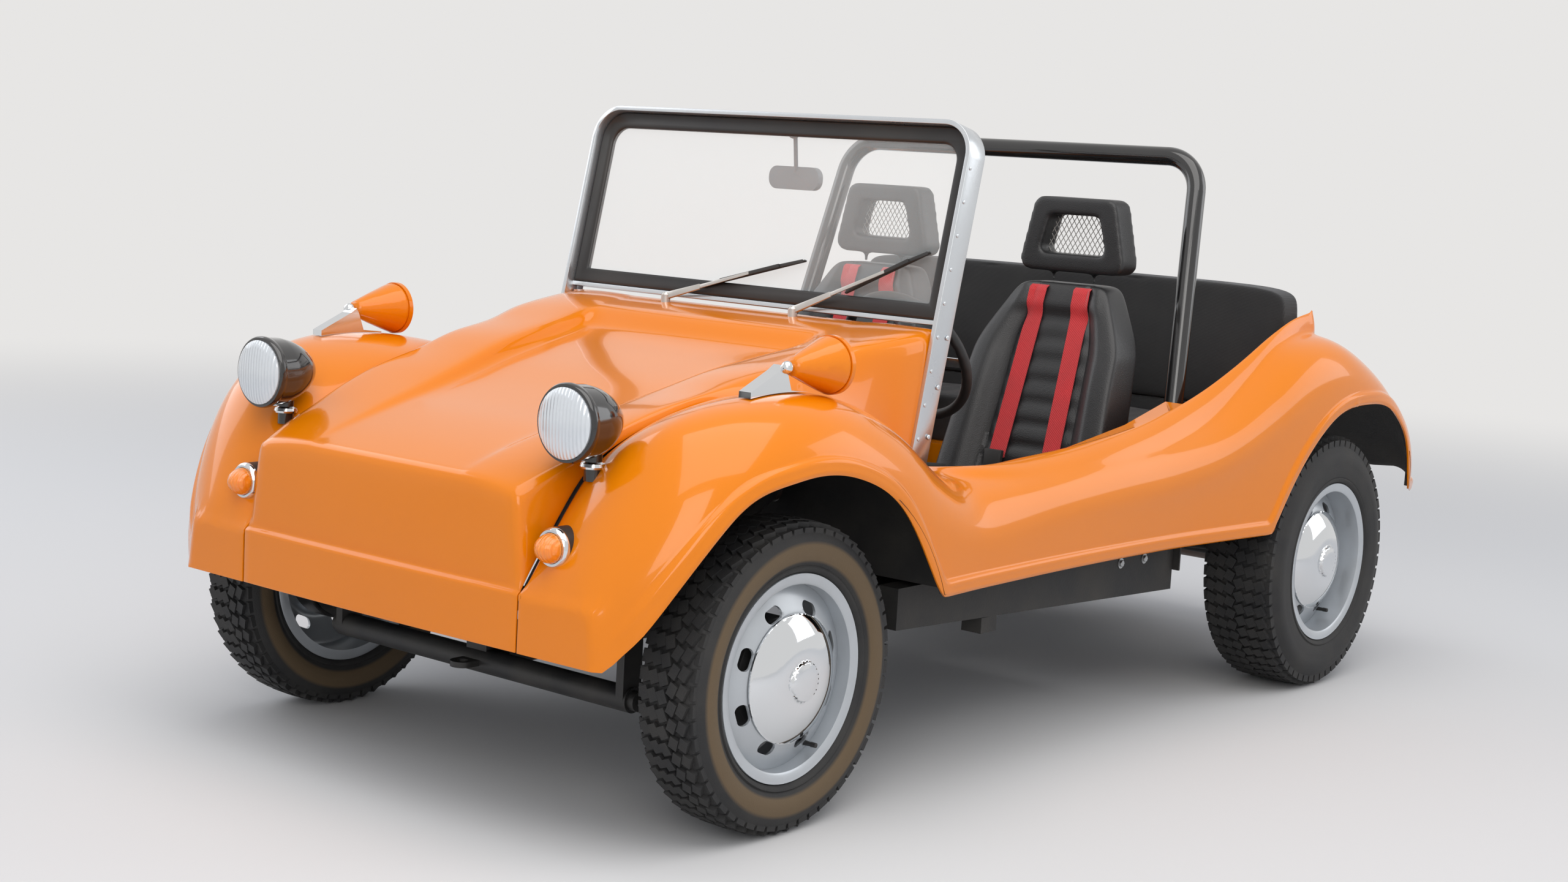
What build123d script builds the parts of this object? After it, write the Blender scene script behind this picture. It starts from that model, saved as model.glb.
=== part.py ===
from build123d import *
import math
import os

# Open two-plus-two dune buggy: moulded plastic body on a shortened floor pan, engine behind the rear axle.
# Lengths are millimetres. X points to the car's left, Z up from the ground, and a station is the
# distance behind the front axle. Each piece is drawn by stations and moved to the middle when it is saved.

WHEELBASE = 2100
NOSE_STATION = -455
TAIL_STATION = 2705
MIDDLE_STATION = (NOSE_STATION + TAIL_STATION) / 2
BODY_WALL = 6
SEAM_GAP = 5
RUNNING_GAP = 0.3
MOVING_GAP = 6

# Wheels: rolling radius, tyre width, half width between the rim flanges, disc offset from the middle plane.
RIM_SEAT_R = 190.5
RIM_FLANGE_R = 208
RIM_WALL = 5
FRONT_TYRE_R, FRONT_TYRE_W, FRONT_RIM_HALF, FRONT_DISC_U = 311, 157, 62, 57
REAR_TYRE_R, REAR_TYRE_W, REAR_RIM_HALF, REAR_DISC_U = 334, 214, 98, 60
FRONT_WHEEL_X = 656.5
REAR_WHEEL_X = 733
HUB_CAP_R = 129
HUB_CAP_DEPTH = 42
HUB_CAP_BOSS_R = 40
DRUM_R = 115
STUB_R = 15
KINGPIN_X = 585
KINGPIN_R = 9
KNUCKLE_R = 18
KNUCKLE_HALF = 50
STEER_ARM = 130
TRACK_ROD_R = 10

# Front axle beam and frame head
BEAM_STATION = -150
BEAM_TUBE_R = 26
BEAM_SPREAD = 75
BEAM_HALF = 440

HUB_Z = FRONT_TYRE_R
TOWER_X, TOWER_TOP = 425, 545
BEAM_END = 456
CARRIER_X = 541
TOW_EYE = (-176, 236)
TOW_EYE_R = 12
STUB_END_U = 16
STUB_BORE = STUB_R + RUNNING_GAP
DRUM_DEPTH = 58
BACK_PLATE_X = FRONT_WHEEL_X + FRONT_DISC_U - 37 - DRUM_DEPTH - 4 - 5
ROD_Z = HUB_Z + 10
ROD_PIN_R = 5
ROD_EYE_HALF = 11.5
SLOTS, SLOT_RADIUS = 8, 142

# Floor pan
PAN_FRONT = 382
PAN_REAR = 1533
PAN_BOTTOM = 345
PAN_PLATE = 6
RAIL_IN, RAIL_OUT = 630, 682
SILL_Z = 446
TUNNEL_HALF, TUNNEL_TOP = 75, 470
HEAD_LOW, HEAD_TOP = 232, 290
RAIL_TOP = SILL_Z - 8
JACK_PAD = (700, 760, PAN_BOTTOM - 45)
CROSS_TUBE = (1720, 385)
CROSS_R, CROSS_HALF = 45, 480
FORK_X, FORK_END = 110, 2055
BELL_END = 2290

# Cockpit: liner walls, wheel wells beside the bench, firewall outline from the skin to the middle
FLOOR_Z = PAN_BOTTOM + PAN_PLATE + RUNNING_GAP
COCKPIT_X = RAIL_IN - RUNNING_GAP
WELL_X = 600
WELL_START = 1540
BENCH_START = 1590
WELL_TOP = 722
BENCH_FLOOR_Z = 560
ENGINE_BAY_HALF, ENGINE_BAY_START = 460, 2420
FIREWALL_ROW = 9
FIREWALL_LOW = ((557, 449), (557, FLOOR_Z))
FIREWALL_HIGH = ((545, 738), (508, 903), (345, 901), (200, 868))
BAND_LOW, BAND_HIGH = 368, 483
TRIM_GAP = 1
LIP_WIDTH, LIP_PROUD = 28, 9

# Windscreen and roll bar
SCREEN_STRIP = 10.7
SCREEN_FOOT = (575, 672)
SCREEN_BASE = (652, 975)
SCREEN_TOP = (748, 1408)
SCREEN_CORNER_R = 80
STRIP_DEPTH = 62
SEAL_W, SEAL_DEPTH, GLASS = 38, 18, 6
WIPER_FOOT_UP = -14
WIPER_BOSS_R = 11
WIPERS = (
    # pivot x, arm tip across, arm tip up, blade ends as (across, up)
    (-220, 10, 63, ((-140, 20), (160, 106))),
    (170, 395, 96, ((290, 42), (500, 150))),
)
ROLL_BAR_R = 24
ROLL_BAR_BEND = 100
ROLL_BAR_TOP = 1367
ROLL_BAR_TOP_X = 551
ROLL_BAR_STATION = 1748
ROLL_BAR_FOOT = (622, 1582)
BUMPER_X, BUMPER_R = 500, 20

# Lamps and mirrors: each centre by (x, station, height)
LAMP_CENTRE = (453, -388, 803)
LAMP_R, LAMP_DEPTH, LENS_R = 76, 142, 68
LAMP_FOOT = (457, -312)
INDICATOR = (460, -406, 572)
INDICATOR_R = 39
TAIL_LAMP = (640, 2600, 612)
TAIL_LAMP_R = 45
MIRROR_FOOT = (634, -90, 85)
MIRROR_BALL = (650, 14, 912)
MIRROR_HEAD_R, MIRROR_HEAD_LENGTH = 57, 128
INSIDE_MIRROR = (8, 800, 1264)

# Seats and steering
SEAT_X = 337
DRIVER_SEAT_SHIFT = -95
SEAT_STATION = 1645
STEERING_X = 300
STEERING_CENTRE = (890, 868)
STEERING_R = 175
SHAFT_R = 12
CUSHION_LOW = 430
HEADREST = (1062, 1250)
BENCH_HALF = 690
COLUMN_TILT = 30
COLUMN_R = 20
COLUMN_WAY = (0, math.cos(math.radians(COLUMN_TILT)), math.sin(math.radians(COLUMN_TILT)))
COLUMN_LOW = (STEERING_X, *[STEERING_CENTRE[i] - 1000 * COLUMN_WAY[i + 1] for i in (0, 1)])
COLUMN_HIGH = (STEERING_X, *[STEERING_CENTRE[i] - 60 * COLUMN_WAY[i + 1] for i in (0, 1)])


def save(node, *pieces):
    shape = pieces[0] if len(pieces) == 1 else Compound(children=list(pieces))
    export_step(Pos(0, -MIDDLE_STATION, 0) * shape, f"parts/{node}.step")


def both(piece):
    return [piece, mirror(piece, Plane.YZ)]


def block(x0, x1, s0, s1, z0, z1):
    return Pos((x0 + x1) / 2, (s0 + s1) / 2, (z0 + z1) / 2) * Box(x1 - x0, s1 - s0, z1 - z0)


def rod(a, b, r):
    start, end = Vector(*a), Vector(*b)
    way = end - start
    plane = Plane(origin=start, z_dir=way)
    return extrude(plane * Circle(r), way.length)


def pipe(points, bends, r, bore=0):
    path = FilletPolyline(*points, radius=bends)
    plane = Plane(origin=path @ 0, z_dir=path % 0)
    section = plane * (Circle(r) - Circle(bore)) if bore else plane * Circle(r)
    return sweep(section, path=path)


def turned(points, x, s, z):
    """Solid of revolution about the X axis, from (across, radius) points, moved to its place."""
    face = make_face(Polyline(*[(u, 0, r) for u, r in points], close=True))
    return Pos(x, s, z) * revolve(face, Axis.X)


def arc_between(p, q, sag):
    mx, mz = (p[0] + q[0]) / 2, (p[1] + q[1]) / 2
    ux, uz = q[0] - p[0], q[1] - p[1]
    length = math.hypot(ux, uz)
    return (mx - uz / length * sag, mz + ux / length * sag)


def inward(points, wall):
    inner = []
    for i, p in enumerate(points):
        before, after = points[max(i - 1, 0)], points[min(i + 1, len(points) - 1)]
        ux, uz = after[0] - before[0], after[1] - before[1]
        length = math.hypot(ux, uz)
        inner.append((p[0] + uz / length * wall, p[1] - ux / length * wall))
    return inner


def wall_section(s, points, arcs, wall):
    """Closed thin face at one station: outer points, each third one of an arc being its middle."""
    outer = [(x, s, z) for x, z in points]
    inner = [(x, s, z) for x, z in inward(points, wall)]
    edges = []
    i = 0
    while i < len(outer) - 1:
        if i in arcs:
            edges.append(ThreePointArc(outer[i], outer[i + 1], outer[i + 2]))
            edges.append(ThreePointArc(inner[i], inner[i + 1], inner[i + 2]))
            i += 2
        else:
            edges.append(Line(outer[i], outer[i + 1]))
            edges.append(Line(inner[i], inner[i + 1]))
            i += 1
    edges.append(Line(outer[0], inner[0]))
    edges.append(Line(outer[-1], inner[-1]))
    return make_face(edges)


# Body side by stations. a: seam with the hood, or cockpit rim; b: crown or crease; c: shoulder; d: lower edge.
# sag_ab and sag_bc are how far the arcs between those points bulge.
SIDE_TABLE = (
    # s, ax, az, bx, bz, cx, cz, dx, dz, sag_ab, sag_bc
    (-440, 413, 486, 500, 490, 592, 470, 604, 368, 3, 14),
    (-405, 411, 535, 520, 572, 650, 505, 664, 368, 6, 26),
    (-350, 410, 608, 540, 690, 700, 590, 714, 368, 10, 32),
    (-290, 413, 690, 565, 775, 738, 655, 750, 368, 12, 38),
    (-200, 424, 750, 590, 828, 768, 715, 776, 368, 12, 40),
    (-90, 440, 795, 606, 853, 788, 748, 794, 446, 10, 40),
    (40, 460, 825, 615, 860, 797, 750, 801, 446, 8, 42),
    (170, 530, 842, 622, 846, 797, 710, 800, 446, 3, 46),
    (300, 557, 812, 630, 795, 793, 645, 797, 446, 3, 48),
    (420, 560, 752, 640, 712, 787, 590, 790, 446, 2, 38),
    (520, 562, 680, 655, 664, 783, 560, 783, 446, 3, 26),
    (640, 650, 676, 692, 652, 780, 550, 778, 446, 5, 20),
    (850, 664, 684, 728, 650, 778, 545, 772, 446, 8, 18),
    (1100, 688, 708, 748, 664, 782, 545, 772, 446, 8, 20),
    (1350, 698, 745, 752, 690, 795, 560, 780, 446, 8, 26),
    (1560, 702, 797, 748, 735, 812, 600, 800, 446, 8, 34),
    (1750, 708, 866, 738, 822, 828, 670, 822, 446, 6, 42),
    (1900, 712, 930, 730, 900, 842, 740, 840, 446, 4, 46),
    (2020, 714, 972, 727, 925, 852, 775, 850, 446, 3, 46),
    (2118, 714, 988, 726, 926, 856, 785, 856, 446, 3, 44),
)

# Hood by the same stations: height at the middle, ridge beside the sunk panel, outer edge.
HOOD_TABLE = (
    # s, middle_z, ridge_x, ridge_z, edge_x, edge_z
    (-440, 682, 240, 682, 384, 664),
    (-405, 694, 240, 696, 390, 684),
    (-350, 712, 240, 716, 398, 710),
    (-290, 728, 242, 736, 404, 734),
    (-200, 750, 250, 764, 411, 774),
    (-90, 772, 268, 792, 423, 812),
    (40, 798, 290, 828, 441, 842),
    (170, 825, 312, 866, 462, 878),
    (300, 850, 330, 893, 488, 900),
    (420, 880, 345, 915, 524, 930),
    (520, 938, 350, 940, 545, 944),
    (600, 952, 350, 954, 554, 954),
    (668, 958, 350, 960, 556, 960),
)

# Tail by stations: deck height, crown, shoulder and lower edge.
TAIL_TABLE = (
    # s, deck_z, bx, bz, cx, cz, dx, dz, sag
    (2118, 916, 726, 926, 856, 785, 856, 446, 44),
    (2240, 876, 738, 884, 858, 745, 857, 446, 42),
    (2360, 812, 747, 820, 856, 690, 854, 446, 40),
    (2470, 735, 752, 742, 848, 625, 844, 446, 36),
    (2560, 650, 752, 656, 834, 570, 828, 500, 28),
    (2620, 585, 750, 590, 818, 530, 812, 490, 18),
    (2655, 535, 746, 540, 800, 505, 796, 480, 10),
)


SEAM_X = SIDE_TABLE[0][1]
COWL_ROW = 10
SCREEN_IN = SIDE_TABLE[COWL_ROW][1] - SEAM_GAP + RUNNING_GAP
SCREEN_HALF = SCREEN_IN + SCREEN_STRIP


def side_shell(rows, proud=0):
    faces = []
    for s, ax, az, bx, bz, cx, cz, dx, dz, sag_ab, sag_bc in rows:
        a, b, c, d = (ax, az), (bx, bz), (cx, cz), (dx, dz)
        points = [a, arc_between(a, b, sag_ab), b, arc_between(b, c, sag_bc), c, d]
        faces.append(wall_section(s, inward(points, -proud), (0, 2), BODY_WALL + proud - bool(proud)))
    return loft(faces)


def tail_shell(rows, proud=0):
    faces = []
    for s, deck_z, bx, bz, cx, cz, dx, dz, sag in rows:
        b, c, d = (bx, bz), (cx, cz), (dx, dz)
        points = [(0, deck_z), (bx - 60, deck_z), b, arc_between(b, c, sag), c, d]
        faces.append(wall_section(s, inward(points, -proud), (2,), BODY_WALL + proud - bool(proud)))
    return loft(faces)


def lips():
    """Raised lips round the arches and along the sill, as bands of a skin that stands proud."""
    skin = side_shell(SIDE_TABLE, LIP_PROUD) + tail_shell(TAIL_TABLE, LIP_PROUD)
    bands = arch(FRONT_ARCH, 640, 900, LIP_WIDTH) + arch(REAR_ARCH, 640, 900, LIP_WIDTH)
    first, last = FRONT_ARCH[-1][2][0], REAR_ARCH[0][0][0]
    low = SIDE_TABLE[-1][8]
    bands += block(640, 900, first, last, low - 5, low + LIP_WIDTH)
    bands -= block(0, 900, NOSE_STATION, TAIL_STATION, 0, BAND_LOW - 5)
    return skin & bands


def away_from(centre, point, by):
    far = math.dist(centre, point)
    return tuple(p + (p - c) / far * by for p, c in zip(point, centre))


def arch(arcs, x0, x1, wider=0):
    """Wheel arch as a prism across the body, from (station, height) arcs that end above the ground."""
    middle = (arcs[0][0][0] + arcs[-1][2][0]) / 2
    arcs = [[away_from((middle, HUB_Z), point, wider) for point in arc] for arc in arcs]
    edges = [ThreePointArc(*[(x0, s, z) for s, z in arc]) for arc in arcs]
    first, last = arcs[0][0], arcs[-1][2]
    edges.append(Polyline((x0, *last), (x0, last[0], 200), (x0, first[0], 200), (x0, *first)))
    return extrude(make_face(edges), x1 - x0, dir=(1, 0, 0))


FRONT_ARCH = (
    ((-432, 360), (-350, 520), (-255, 654)),
    ((-255, 654), (-95, 724), (68, 718)),
    ((68, 718), (232, 634), (382, 440)),
)
REAR_ARCH = (
    ((1762, 440), (1838, 562), (1975, 700)),
    ((1975, 700), (2190, 757), (2400, 706)),
    ((2400, 706), (2500, 615), (2562, 480)),
)


# Body tub: fenders, side walls, cockpit liner and tail deck in one moulding
def body_half():
    half = side_shell(SIDE_TABLE) + tail_shell(TAIL_TABLE) + lips()
    half -= arch(FRONT_ARCH, 560, 900)
    half -= arch(REAR_ARCH, 560, 900)
    half += nose_wall()
    half += cockpit_liner()
    return half


def wall_line(row, side):
    """Edges through the middle of the skin at one station, from seam or rim to just above the lower edge."""
    s, ax, az, bx, bz, cx, cz, dx, dz, sag_ab, sag_bc = row
    a, b, c, d = (ax, az), (bx, bz), (cx, cz), (dx, dz)
    points = [a, arc_between(a, b, sag_ab), b, arc_between(b, c, sag_bc), c, d]
    line = [(side * x, s, z) for x, z in inward(points, BODY_WALL / 2)]
    low = (line[5][0], s, line[5][2] + BODY_WALL / 2)
    return [ThreePointArc(*line[0:3]), ThreePointArc(*line[2:5]), Line(line[4], low)], line[0], low


def nose_wall():
    row = SIDE_TABLE[0]
    edges, first, last = wall_line(row, 1)
    edges.append(Polyline(last, (SEAM_X, row[0], BAND_LOW), first))
    return extrude(make_face(edges), BODY_WALL, dir=(0, 1, 0))


def firewall():
    row = SIDE_TABLE[FIREWALL_ROW]
    ends = []
    edges = []
    for side in (1, -1):
        lines, first, last = wall_line(row, side)
        edges += lines
        low = [(side * x, row[0], z) for x, z in FIREWALL_LOW]
        high = [(side * x, row[0], z) for x, z in FIREWALL_HIGH]
        edges += [Polyline(last, *low), Polyline(first, *high)]
        ends.append((low[-1], high[-1]))
    edges += [Line(ends[0][i], ends[1][i]) for i in (0, 1)]
    return extrude(make_face(edges), BODY_WALL, dir=(0, 1, 0))


def read_off(rows, station, columns):
    """Values of some columns at a station, between the rows of a table."""
    for low, high in zip(rows, rows[1:]):
        if low[0] <= station <= high[0]:
            share = (station - low[0]) / (high[0] - low[0])
            return tuple(low[i] + share * (high[i] - low[i]) for i in columns)


def rim_at(station):
    return read_off(SIDE_TABLE, station, (1, 2))


def cockpit_liner():
    walls = []
    fore, mid, aft = SIDE_TABLE[FIREWALL_ROW][0], WELL_START, SIDE_TABLE[-1][0]
    for low, high in ((fore, mid), (mid, aft)):
        bottom = FLOOR_Z if low == fore else WELL_TOP - BODY_WALL
        stations = [low] + [row[0] for row in SIDE_TABLE if low < row[0] < high] + [high]
        faces = []
        for s in stations:
            rim_x, rim_z = rim_at(s)
            wall_x = min(rim_x, COCKPIT_X) if low == fore else rim_x - 4
            corners = [(wall_x - BODY_WALL, bottom), (wall_x, bottom), (wall_x, rim_z - 12)]
            corners += [(rim_x + 2, rim_z - 10), (rim_x + 2, rim_z - 3), (wall_x - BODY_WALL, rim_z - 2)]
            faces.append(make_face(Polyline(*[(x, s, z) for x, z in corners], close=True)))
        walls.append(loft(faces, ruled=True))
    wall = walls[0] + walls[1]
    wall += block(WELL_X - BODY_WALL, WELL_X, mid - BODY_WALL, aft, BENCH_FLOOR_Z, WELL_TOP)
    wall += block(WELL_X - BODY_WALL, 712, mid - BODY_WALL, aft, WELL_TOP - BODY_WALL, WELL_TOP)
    wall += block(WELL_X - BODY_WALL, 700, mid - BODY_WALL, mid, FLOOR_Z, WELL_TOP)
    return wall


def body_tub():
    half = body_half()
    tub = half + mirror(half, Plane.YZ)
    # bench floor, its riser, the wall behind the bench and the open engine bay
    back = SIDE_TABLE[-1][0]
    tub += block(-WELL_X, WELL_X, BENCH_START, back, BENCH_FLOOR_Z, BENCH_FLOOR_Z + BODY_WALL)
    tub += block(-WELL_X, WELL_X, BENCH_START, BENCH_START + BODY_WALL, FLOOR_Z, BENCH_FLOOR_Z)
    tub += block(-WELL_X, WELL_X, back - BODY_WALL, back, BENCH_FLOOR_Z, WELL_TOP)
    tub += block(-702, 702, back - BODY_WALL, back, WELL_TOP - BODY_WALL, TAIL_TABLE[0][1])
    tub += firewall()
    tub += nose_band() - block(-SEAM_X, SEAM_X, NOSE_STATION - 10, 0, 0, 900)
    tub -= block(-ENGINE_BAY_HALF, ENGINE_BAY_HALF, ENGINE_BAY_START, TAIL_STATION + 100, 400, 1000)
    tub -= rod(COLUMN_LOW, COLUMN_HIGH, COLUMN_R + 8)
    tub -= block(-TUNNEL_HALF - TRIM_GAP, TUNNEL_HALF + TRIM_GAP, 0, BENCH_START + 50, 300, TUNNEL_TOP + TRIM_GAP)
    return tub


def nose_band():
    """Shallow bumper band moulded across the nose, flat behind and curved in front."""
    x, s = SIDE_TABLE[0][7], SIDE_TABLE[0][0]
    edges = [ThreePointArc((-x, s - 6, BAND_LOW), (0, NOSE_STATION, BAND_LOW), (x, s - 6, BAND_LOW))]
    edges.append(Polyline((x, s - 6, BAND_LOW), (x, s, BAND_LOW), (-x, s, BAND_LOW), (-x, s - 6, BAND_LOW)))
    return extrude(make_face(edges), BAND_HIGH - BAND_LOW, dir=(0, 0, 1))


# Front panel: hood, cowl and nose as one sheet between the fenders
def front_panel():
    faces = []
    for s, middle_z, ridge_x, ridge_z, edge_x, edge_z in HOOD_TABLE:
        rim_x, rim_z = rim_at(min(s, SIDE_TABLE[COWL_ROW][0]))
        side = [(rim_x - SEAM_GAP, rim_z), (edge_x, edge_z), (ridge_x, ridge_z)]
        points = [(-x, z) for x, z in side] + [(0, middle_z)] + side[::-1]
        faces.append(wall_section(s, points, (), BODY_WALL))
    shell = loft(faces, ruled=True)
    s, middle_z, ridge_x, ridge_z, edge_x, edge_z = HOOD_TABLE[0]
    seam_x, seam_z = rim_at(s)
    edge = seam_x - SEAM_GAP
    right = [(edge, BAND_LOW), (edge, seam_z), (edge_x, edge_z), (ridge_x, ridge_z)]
    outline = right + [(0, middle_z)] + [(-x, z) for x, z in right[::-1]]
    nose = make_face(Polyline(*[(x, s, z) for x, z in outline], close=True))
    shell += extrude(nose, BODY_WALL, dir=(0, 1, 0))
    # the side of the cowl stops at the windscreen posts
    lean = (SCREEN_BASE[0] - SCREEN_FOOT[0]) / (SCREEN_BASE[1] - SCREEN_FOOT[1])
    low, high = 500, 940
    cut_low = SCREEN_FOOT[0] + (low - SCREEN_FOOT[1]) * lean
    cut_high = SCREEN_FOOT[0] + (high - SCREEN_FOOT[1]) * lean
    behind = ((cut_low, low), (900, low), (900, high), (cut_high, high))
    cut = make_face(Polyline(*[(-800, s, z) for s, z in behind], close=True))
    shell -= extrude(cut, 1600, dir=(1, 0, 0))
    return shell + (nose_band() & block(-edge, edge, NOSE_STATION - 10, 0, 0, 900))


# Chassis: floor pan with backbone tunnel, side rails, frame head, rear cross tube and gearbox fork
def floor_pan():
    """Backbone with frame head and gearbox fork, then the floor plates and side rails as solids of their own."""
    backbone = block(-TUNNEL_HALF, TUNNEL_HALF, 300, CROSS_TUBE[0], PAN_BOTTOM - 40, TUNNEL_TOP)
    head_start = BEAM_STATION + BEAM_TUBE_R + RUNNING_GAP
    backbone += block(-60, 60, head_start, 320, HEAD_LOW, HEAD_TOP) + block(-60, 60, 260, 320, HEAD_TOP, TUNNEL_TOP)
    s, z = CROSS_TUBE
    backbone += rod((-CROSS_HALF, s, z), (CROSS_HALF, s, z), CROSS_R)
    for x in (FORK_X, -FORK_X - 30):
        backbone += block(x, x + 30, s, FORK_END, z - 40, z + 40)
    pieces = [backbone]
    for side in (1, -1):
        x0, x1 = sorted((side * (TUNNEL_HALF + RUNNING_GAP), side * (RAIL_IN - RUNNING_GAP)))
        pieces.append(block(x0, x1, PAN_FRONT, PAN_REAR, PAN_BOTTOM, PAN_BOTTOM + PAN_PLATE))
        x0, x1 = sorted((side * RAIL_IN, side * RAIL_OUT))
        corners = ((PAN_FRONT, 349), (PAN_REAR, 303), (PAN_REAR, RAIL_TOP), (PAN_FRONT, RAIL_TOP))
        outline = make_face(Polyline(*[(x0, s, z) for s, z in corners], close=True))
        rail = extrude(outline, x1 - x0, dir=(1, 0, 0))
        pieces.append(rail + block(x0, x1, *JACK_PAD, PAN_BOTTOM - 10))
    return pieces


# Front axle: beam tubes, shock towers, trailing arms, carriers with kingpins, shock absorbers and tow lug
def front_axle_beam():
    low, high = HUB_Z - BEAM_SPREAD, HUB_Z + BEAM_SPREAD
    beam = block(-30, 30, BEAM_STATION - 12, BEAM_STATION + 12, low, high)
    for z in (low, high):
        beam += rod((-BEAM_HALF, BEAM_STATION, z), (BEAM_HALF, BEAM_STATION, z), BEAM_TUBE_R)
    s, z = TOW_EYE
    lug = block(-25, 25, s - 25, BEAM_STATION, z - 6, z + 6) + rod((0, s - 25, z - 6), (0, s - 25, z + 6), 25)
    beam += lug - rod((0, s - 25, z - 10), (0, s - 25, z + 10), TOW_EYE_R)
    for side in (1, -1):
        beam += block(side * TOWER_X - 10, side * TOWER_X + 10, BEAM_STATION - 26, BEAM_STATION + 26, low, TOWER_TOP)
        for z in (low, high):
            beam += rod((side * (BEAM_HALF - 20), BEAM_STATION, z), (side * BEAM_END, BEAM_STATION, z), 20)
            beam += rod((side * (BEAM_END - 8), BEAM_STATION, z), (side * CARRIER_X, 0, z), 12)
        beam += block(side * CARRIER_X - 11, side * CARRIER_X + 11, -15, 15, low - 14, high + 14)
        for end, away in ((low, -1), (high, 1)):
            eye_in = HUB_Z + away * (KNUCKLE_HALF + RUNNING_GAP)
            bottom, top = min(eye_in, end), max(eye_in, end)
            beam += rod((side * KINGPIN_X, 0, bottom), (side * KINGPIN_X, 0, top), KNUCKLE_R)
            x0, x1 = sorted((side * CARRIER_X, side * KINGPIN_X))
            beam += block(x0, x1, -12, 12, bottom, top)
        beam += rod((side * KINGPIN_X, 0, low), (side * KINGPIN_X, 0, high), KINGPIN_R)
        beam += rod((side * (TOWER_X + 20), BEAM_STATION, TOWER_TOP - 20), (side * 499, -70, low), 18)
        pin_z = TOWER_TOP - 20
        beam += rod((side * TOWER_X, BEAM_STATION, pin_z), (side * (TOWER_X + 22), BEAM_STATION, pin_z), 8)
    return beam


# Steering knuckle: barrel on the kingpin, stub axle, brake back plate and steering arm with its pin
def knuckle():
    piece = rod((KINGPIN_X, 0, HUB_Z - KNUCKLE_HALF), (KINGPIN_X, 0, HUB_Z + KNUCKLE_HALF), KNUCKLE_R)
    piece += rod((KINGPIN_X, 0, HUB_Z), (FRONT_WHEEL_X + STUB_END_U, 0, HUB_Z), STUB_R)
    piece += rod((BACK_PLATE_X - 4, 0, HUB_Z), (BACK_PLATE_X, 0, HUB_Z), DRUM_R - 6)
    arm_z = HUB_Z - 19
    piece += block(KINGPIN_X - 10, KINGPIN_X + 10, 0, STEER_ARM, arm_z, arm_z + 12)
    piece += rod((KINGPIN_X, STEER_ARM, arm_z), (KINGPIN_X, STEER_ARM, ROD_Z - ROD_EYE_HALF - RUNNING_GAP), 12)
    piece += rod((KINGPIN_X, STEER_ARM, arm_z), (KINGPIN_X, STEER_ARM, ROD_Z + ROD_EYE_HALF + 2), ROD_PIN_R)
    return piece - rod((KINGPIN_X, 0, 0), (KINGPIN_X, 0, 900), KINGPIN_R + RUNNING_GAP)


def track_rod():
    piece = rod((-KINGPIN_X, STEER_ARM, ROD_Z), (KINGPIN_X, STEER_ARM, ROD_Z), TRACK_ROD_R)
    for x in (-KINGPIN_X, KINGPIN_X):
        low, high = (x, STEER_ARM, ROD_Z - ROD_EYE_HALF), (x, STEER_ARM, ROD_Z + ROD_EYE_HALF)
        piece += rod(low, high, 14)
        piece -= rod((x, STEER_ARM, 0), (x, STEER_ARM, 900), ROD_PIN_R + RUNNING_GAP)
    return piece


# Wheels: tyre ring, steel rim with slotted disc and brake drum, domed hub cap
def tyre(r, w, rim_half):
    bead = rim_half - RIM_WALL - RUNNING_GAP
    seat = RIM_SEAT_R + RUNNING_GAP
    side = (r + RIM_FLANGE_R) / 2
    crown, edge, shoulder = w * 0.36, r - 4, r - 14
    right = [Line((bead, 0, seat), (bead, 0, RIM_FLANGE_R + 2))]
    right.append(ThreePointArc((bead, 0, RIM_FLANGE_R + 2), (w / 2, 0, side), (crown + 8, 0, shoulder)))
    right.append(Line((crown + 8, 0, shoulder), (crown, 0, edge)))
    left = [mirror(edge_line, Plane.YZ) for edge_line in right]
    tread = ThreePointArc((crown, 0, edge), (0, 0, r), (-crown, 0, edge))
    face = make_face([*right, *left, tread, Line((bead, 0, seat), (-bead, 0, seat))])
    return revolve(face, Axis.X)


def rim(rim_half, disc_u):
    inner = RIM_SEAT_R - RIM_WALL
    barrel = ((-rim_half, inner), (rim_half, inner), (rim_half, RIM_FLANGE_R), (rim_half - RIM_WALL, RIM_FLANGE_R),
              (rim_half - RIM_WALL, RIM_SEAT_R), (RIM_WALL - rim_half, RIM_SEAT_R), (RIM_WALL - rim_half, RIM_FLANGE_R),
              (-rim_half, RIM_FLANGE_R))
    nub, foot = disc_u, disc_u - 37
    disc = ((foot + 6, inner + 2), (nub - 12, 152), (nub, 128), (nub - 4, 112), (foot + 4, 92), (foot + 4, STUB_BORE),
            (foot - 1, STUB_BORE), (foot - 1, 96), (nub - 9, 114), (nub - 5, 126), (nub - 16, 147), (foot + 1, inner + 2))
    drum = ((foot - DRUM_DEPTH, DRUM_R), (foot, DRUM_R), (foot, STUB_BORE), (foot - DRUM_DEPTH - 4, STUB_BORE),
            (foot - DRUM_DEPTH - 4, 28), (foot - 8, 28), (foot - 8, DRUM_R - 8), (foot - DRUM_DEPTH, DRUM_R - 8))
    wheel = turned(barrel, 0, 0, 0) + turned(disc, 0, 0, 0) + turned(drum, 0, 0, 0)
    slot = Plane.YZ * (Pos(0, SLOT_RADIUS) * SlotOverall(46, 26))
    for i in range(SLOTS):
        wheel -= Rot(360 / SLOTS * (i + 0.5), 0, 0) * extrude(slot, disc_u + 20)
    return wheel


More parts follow.
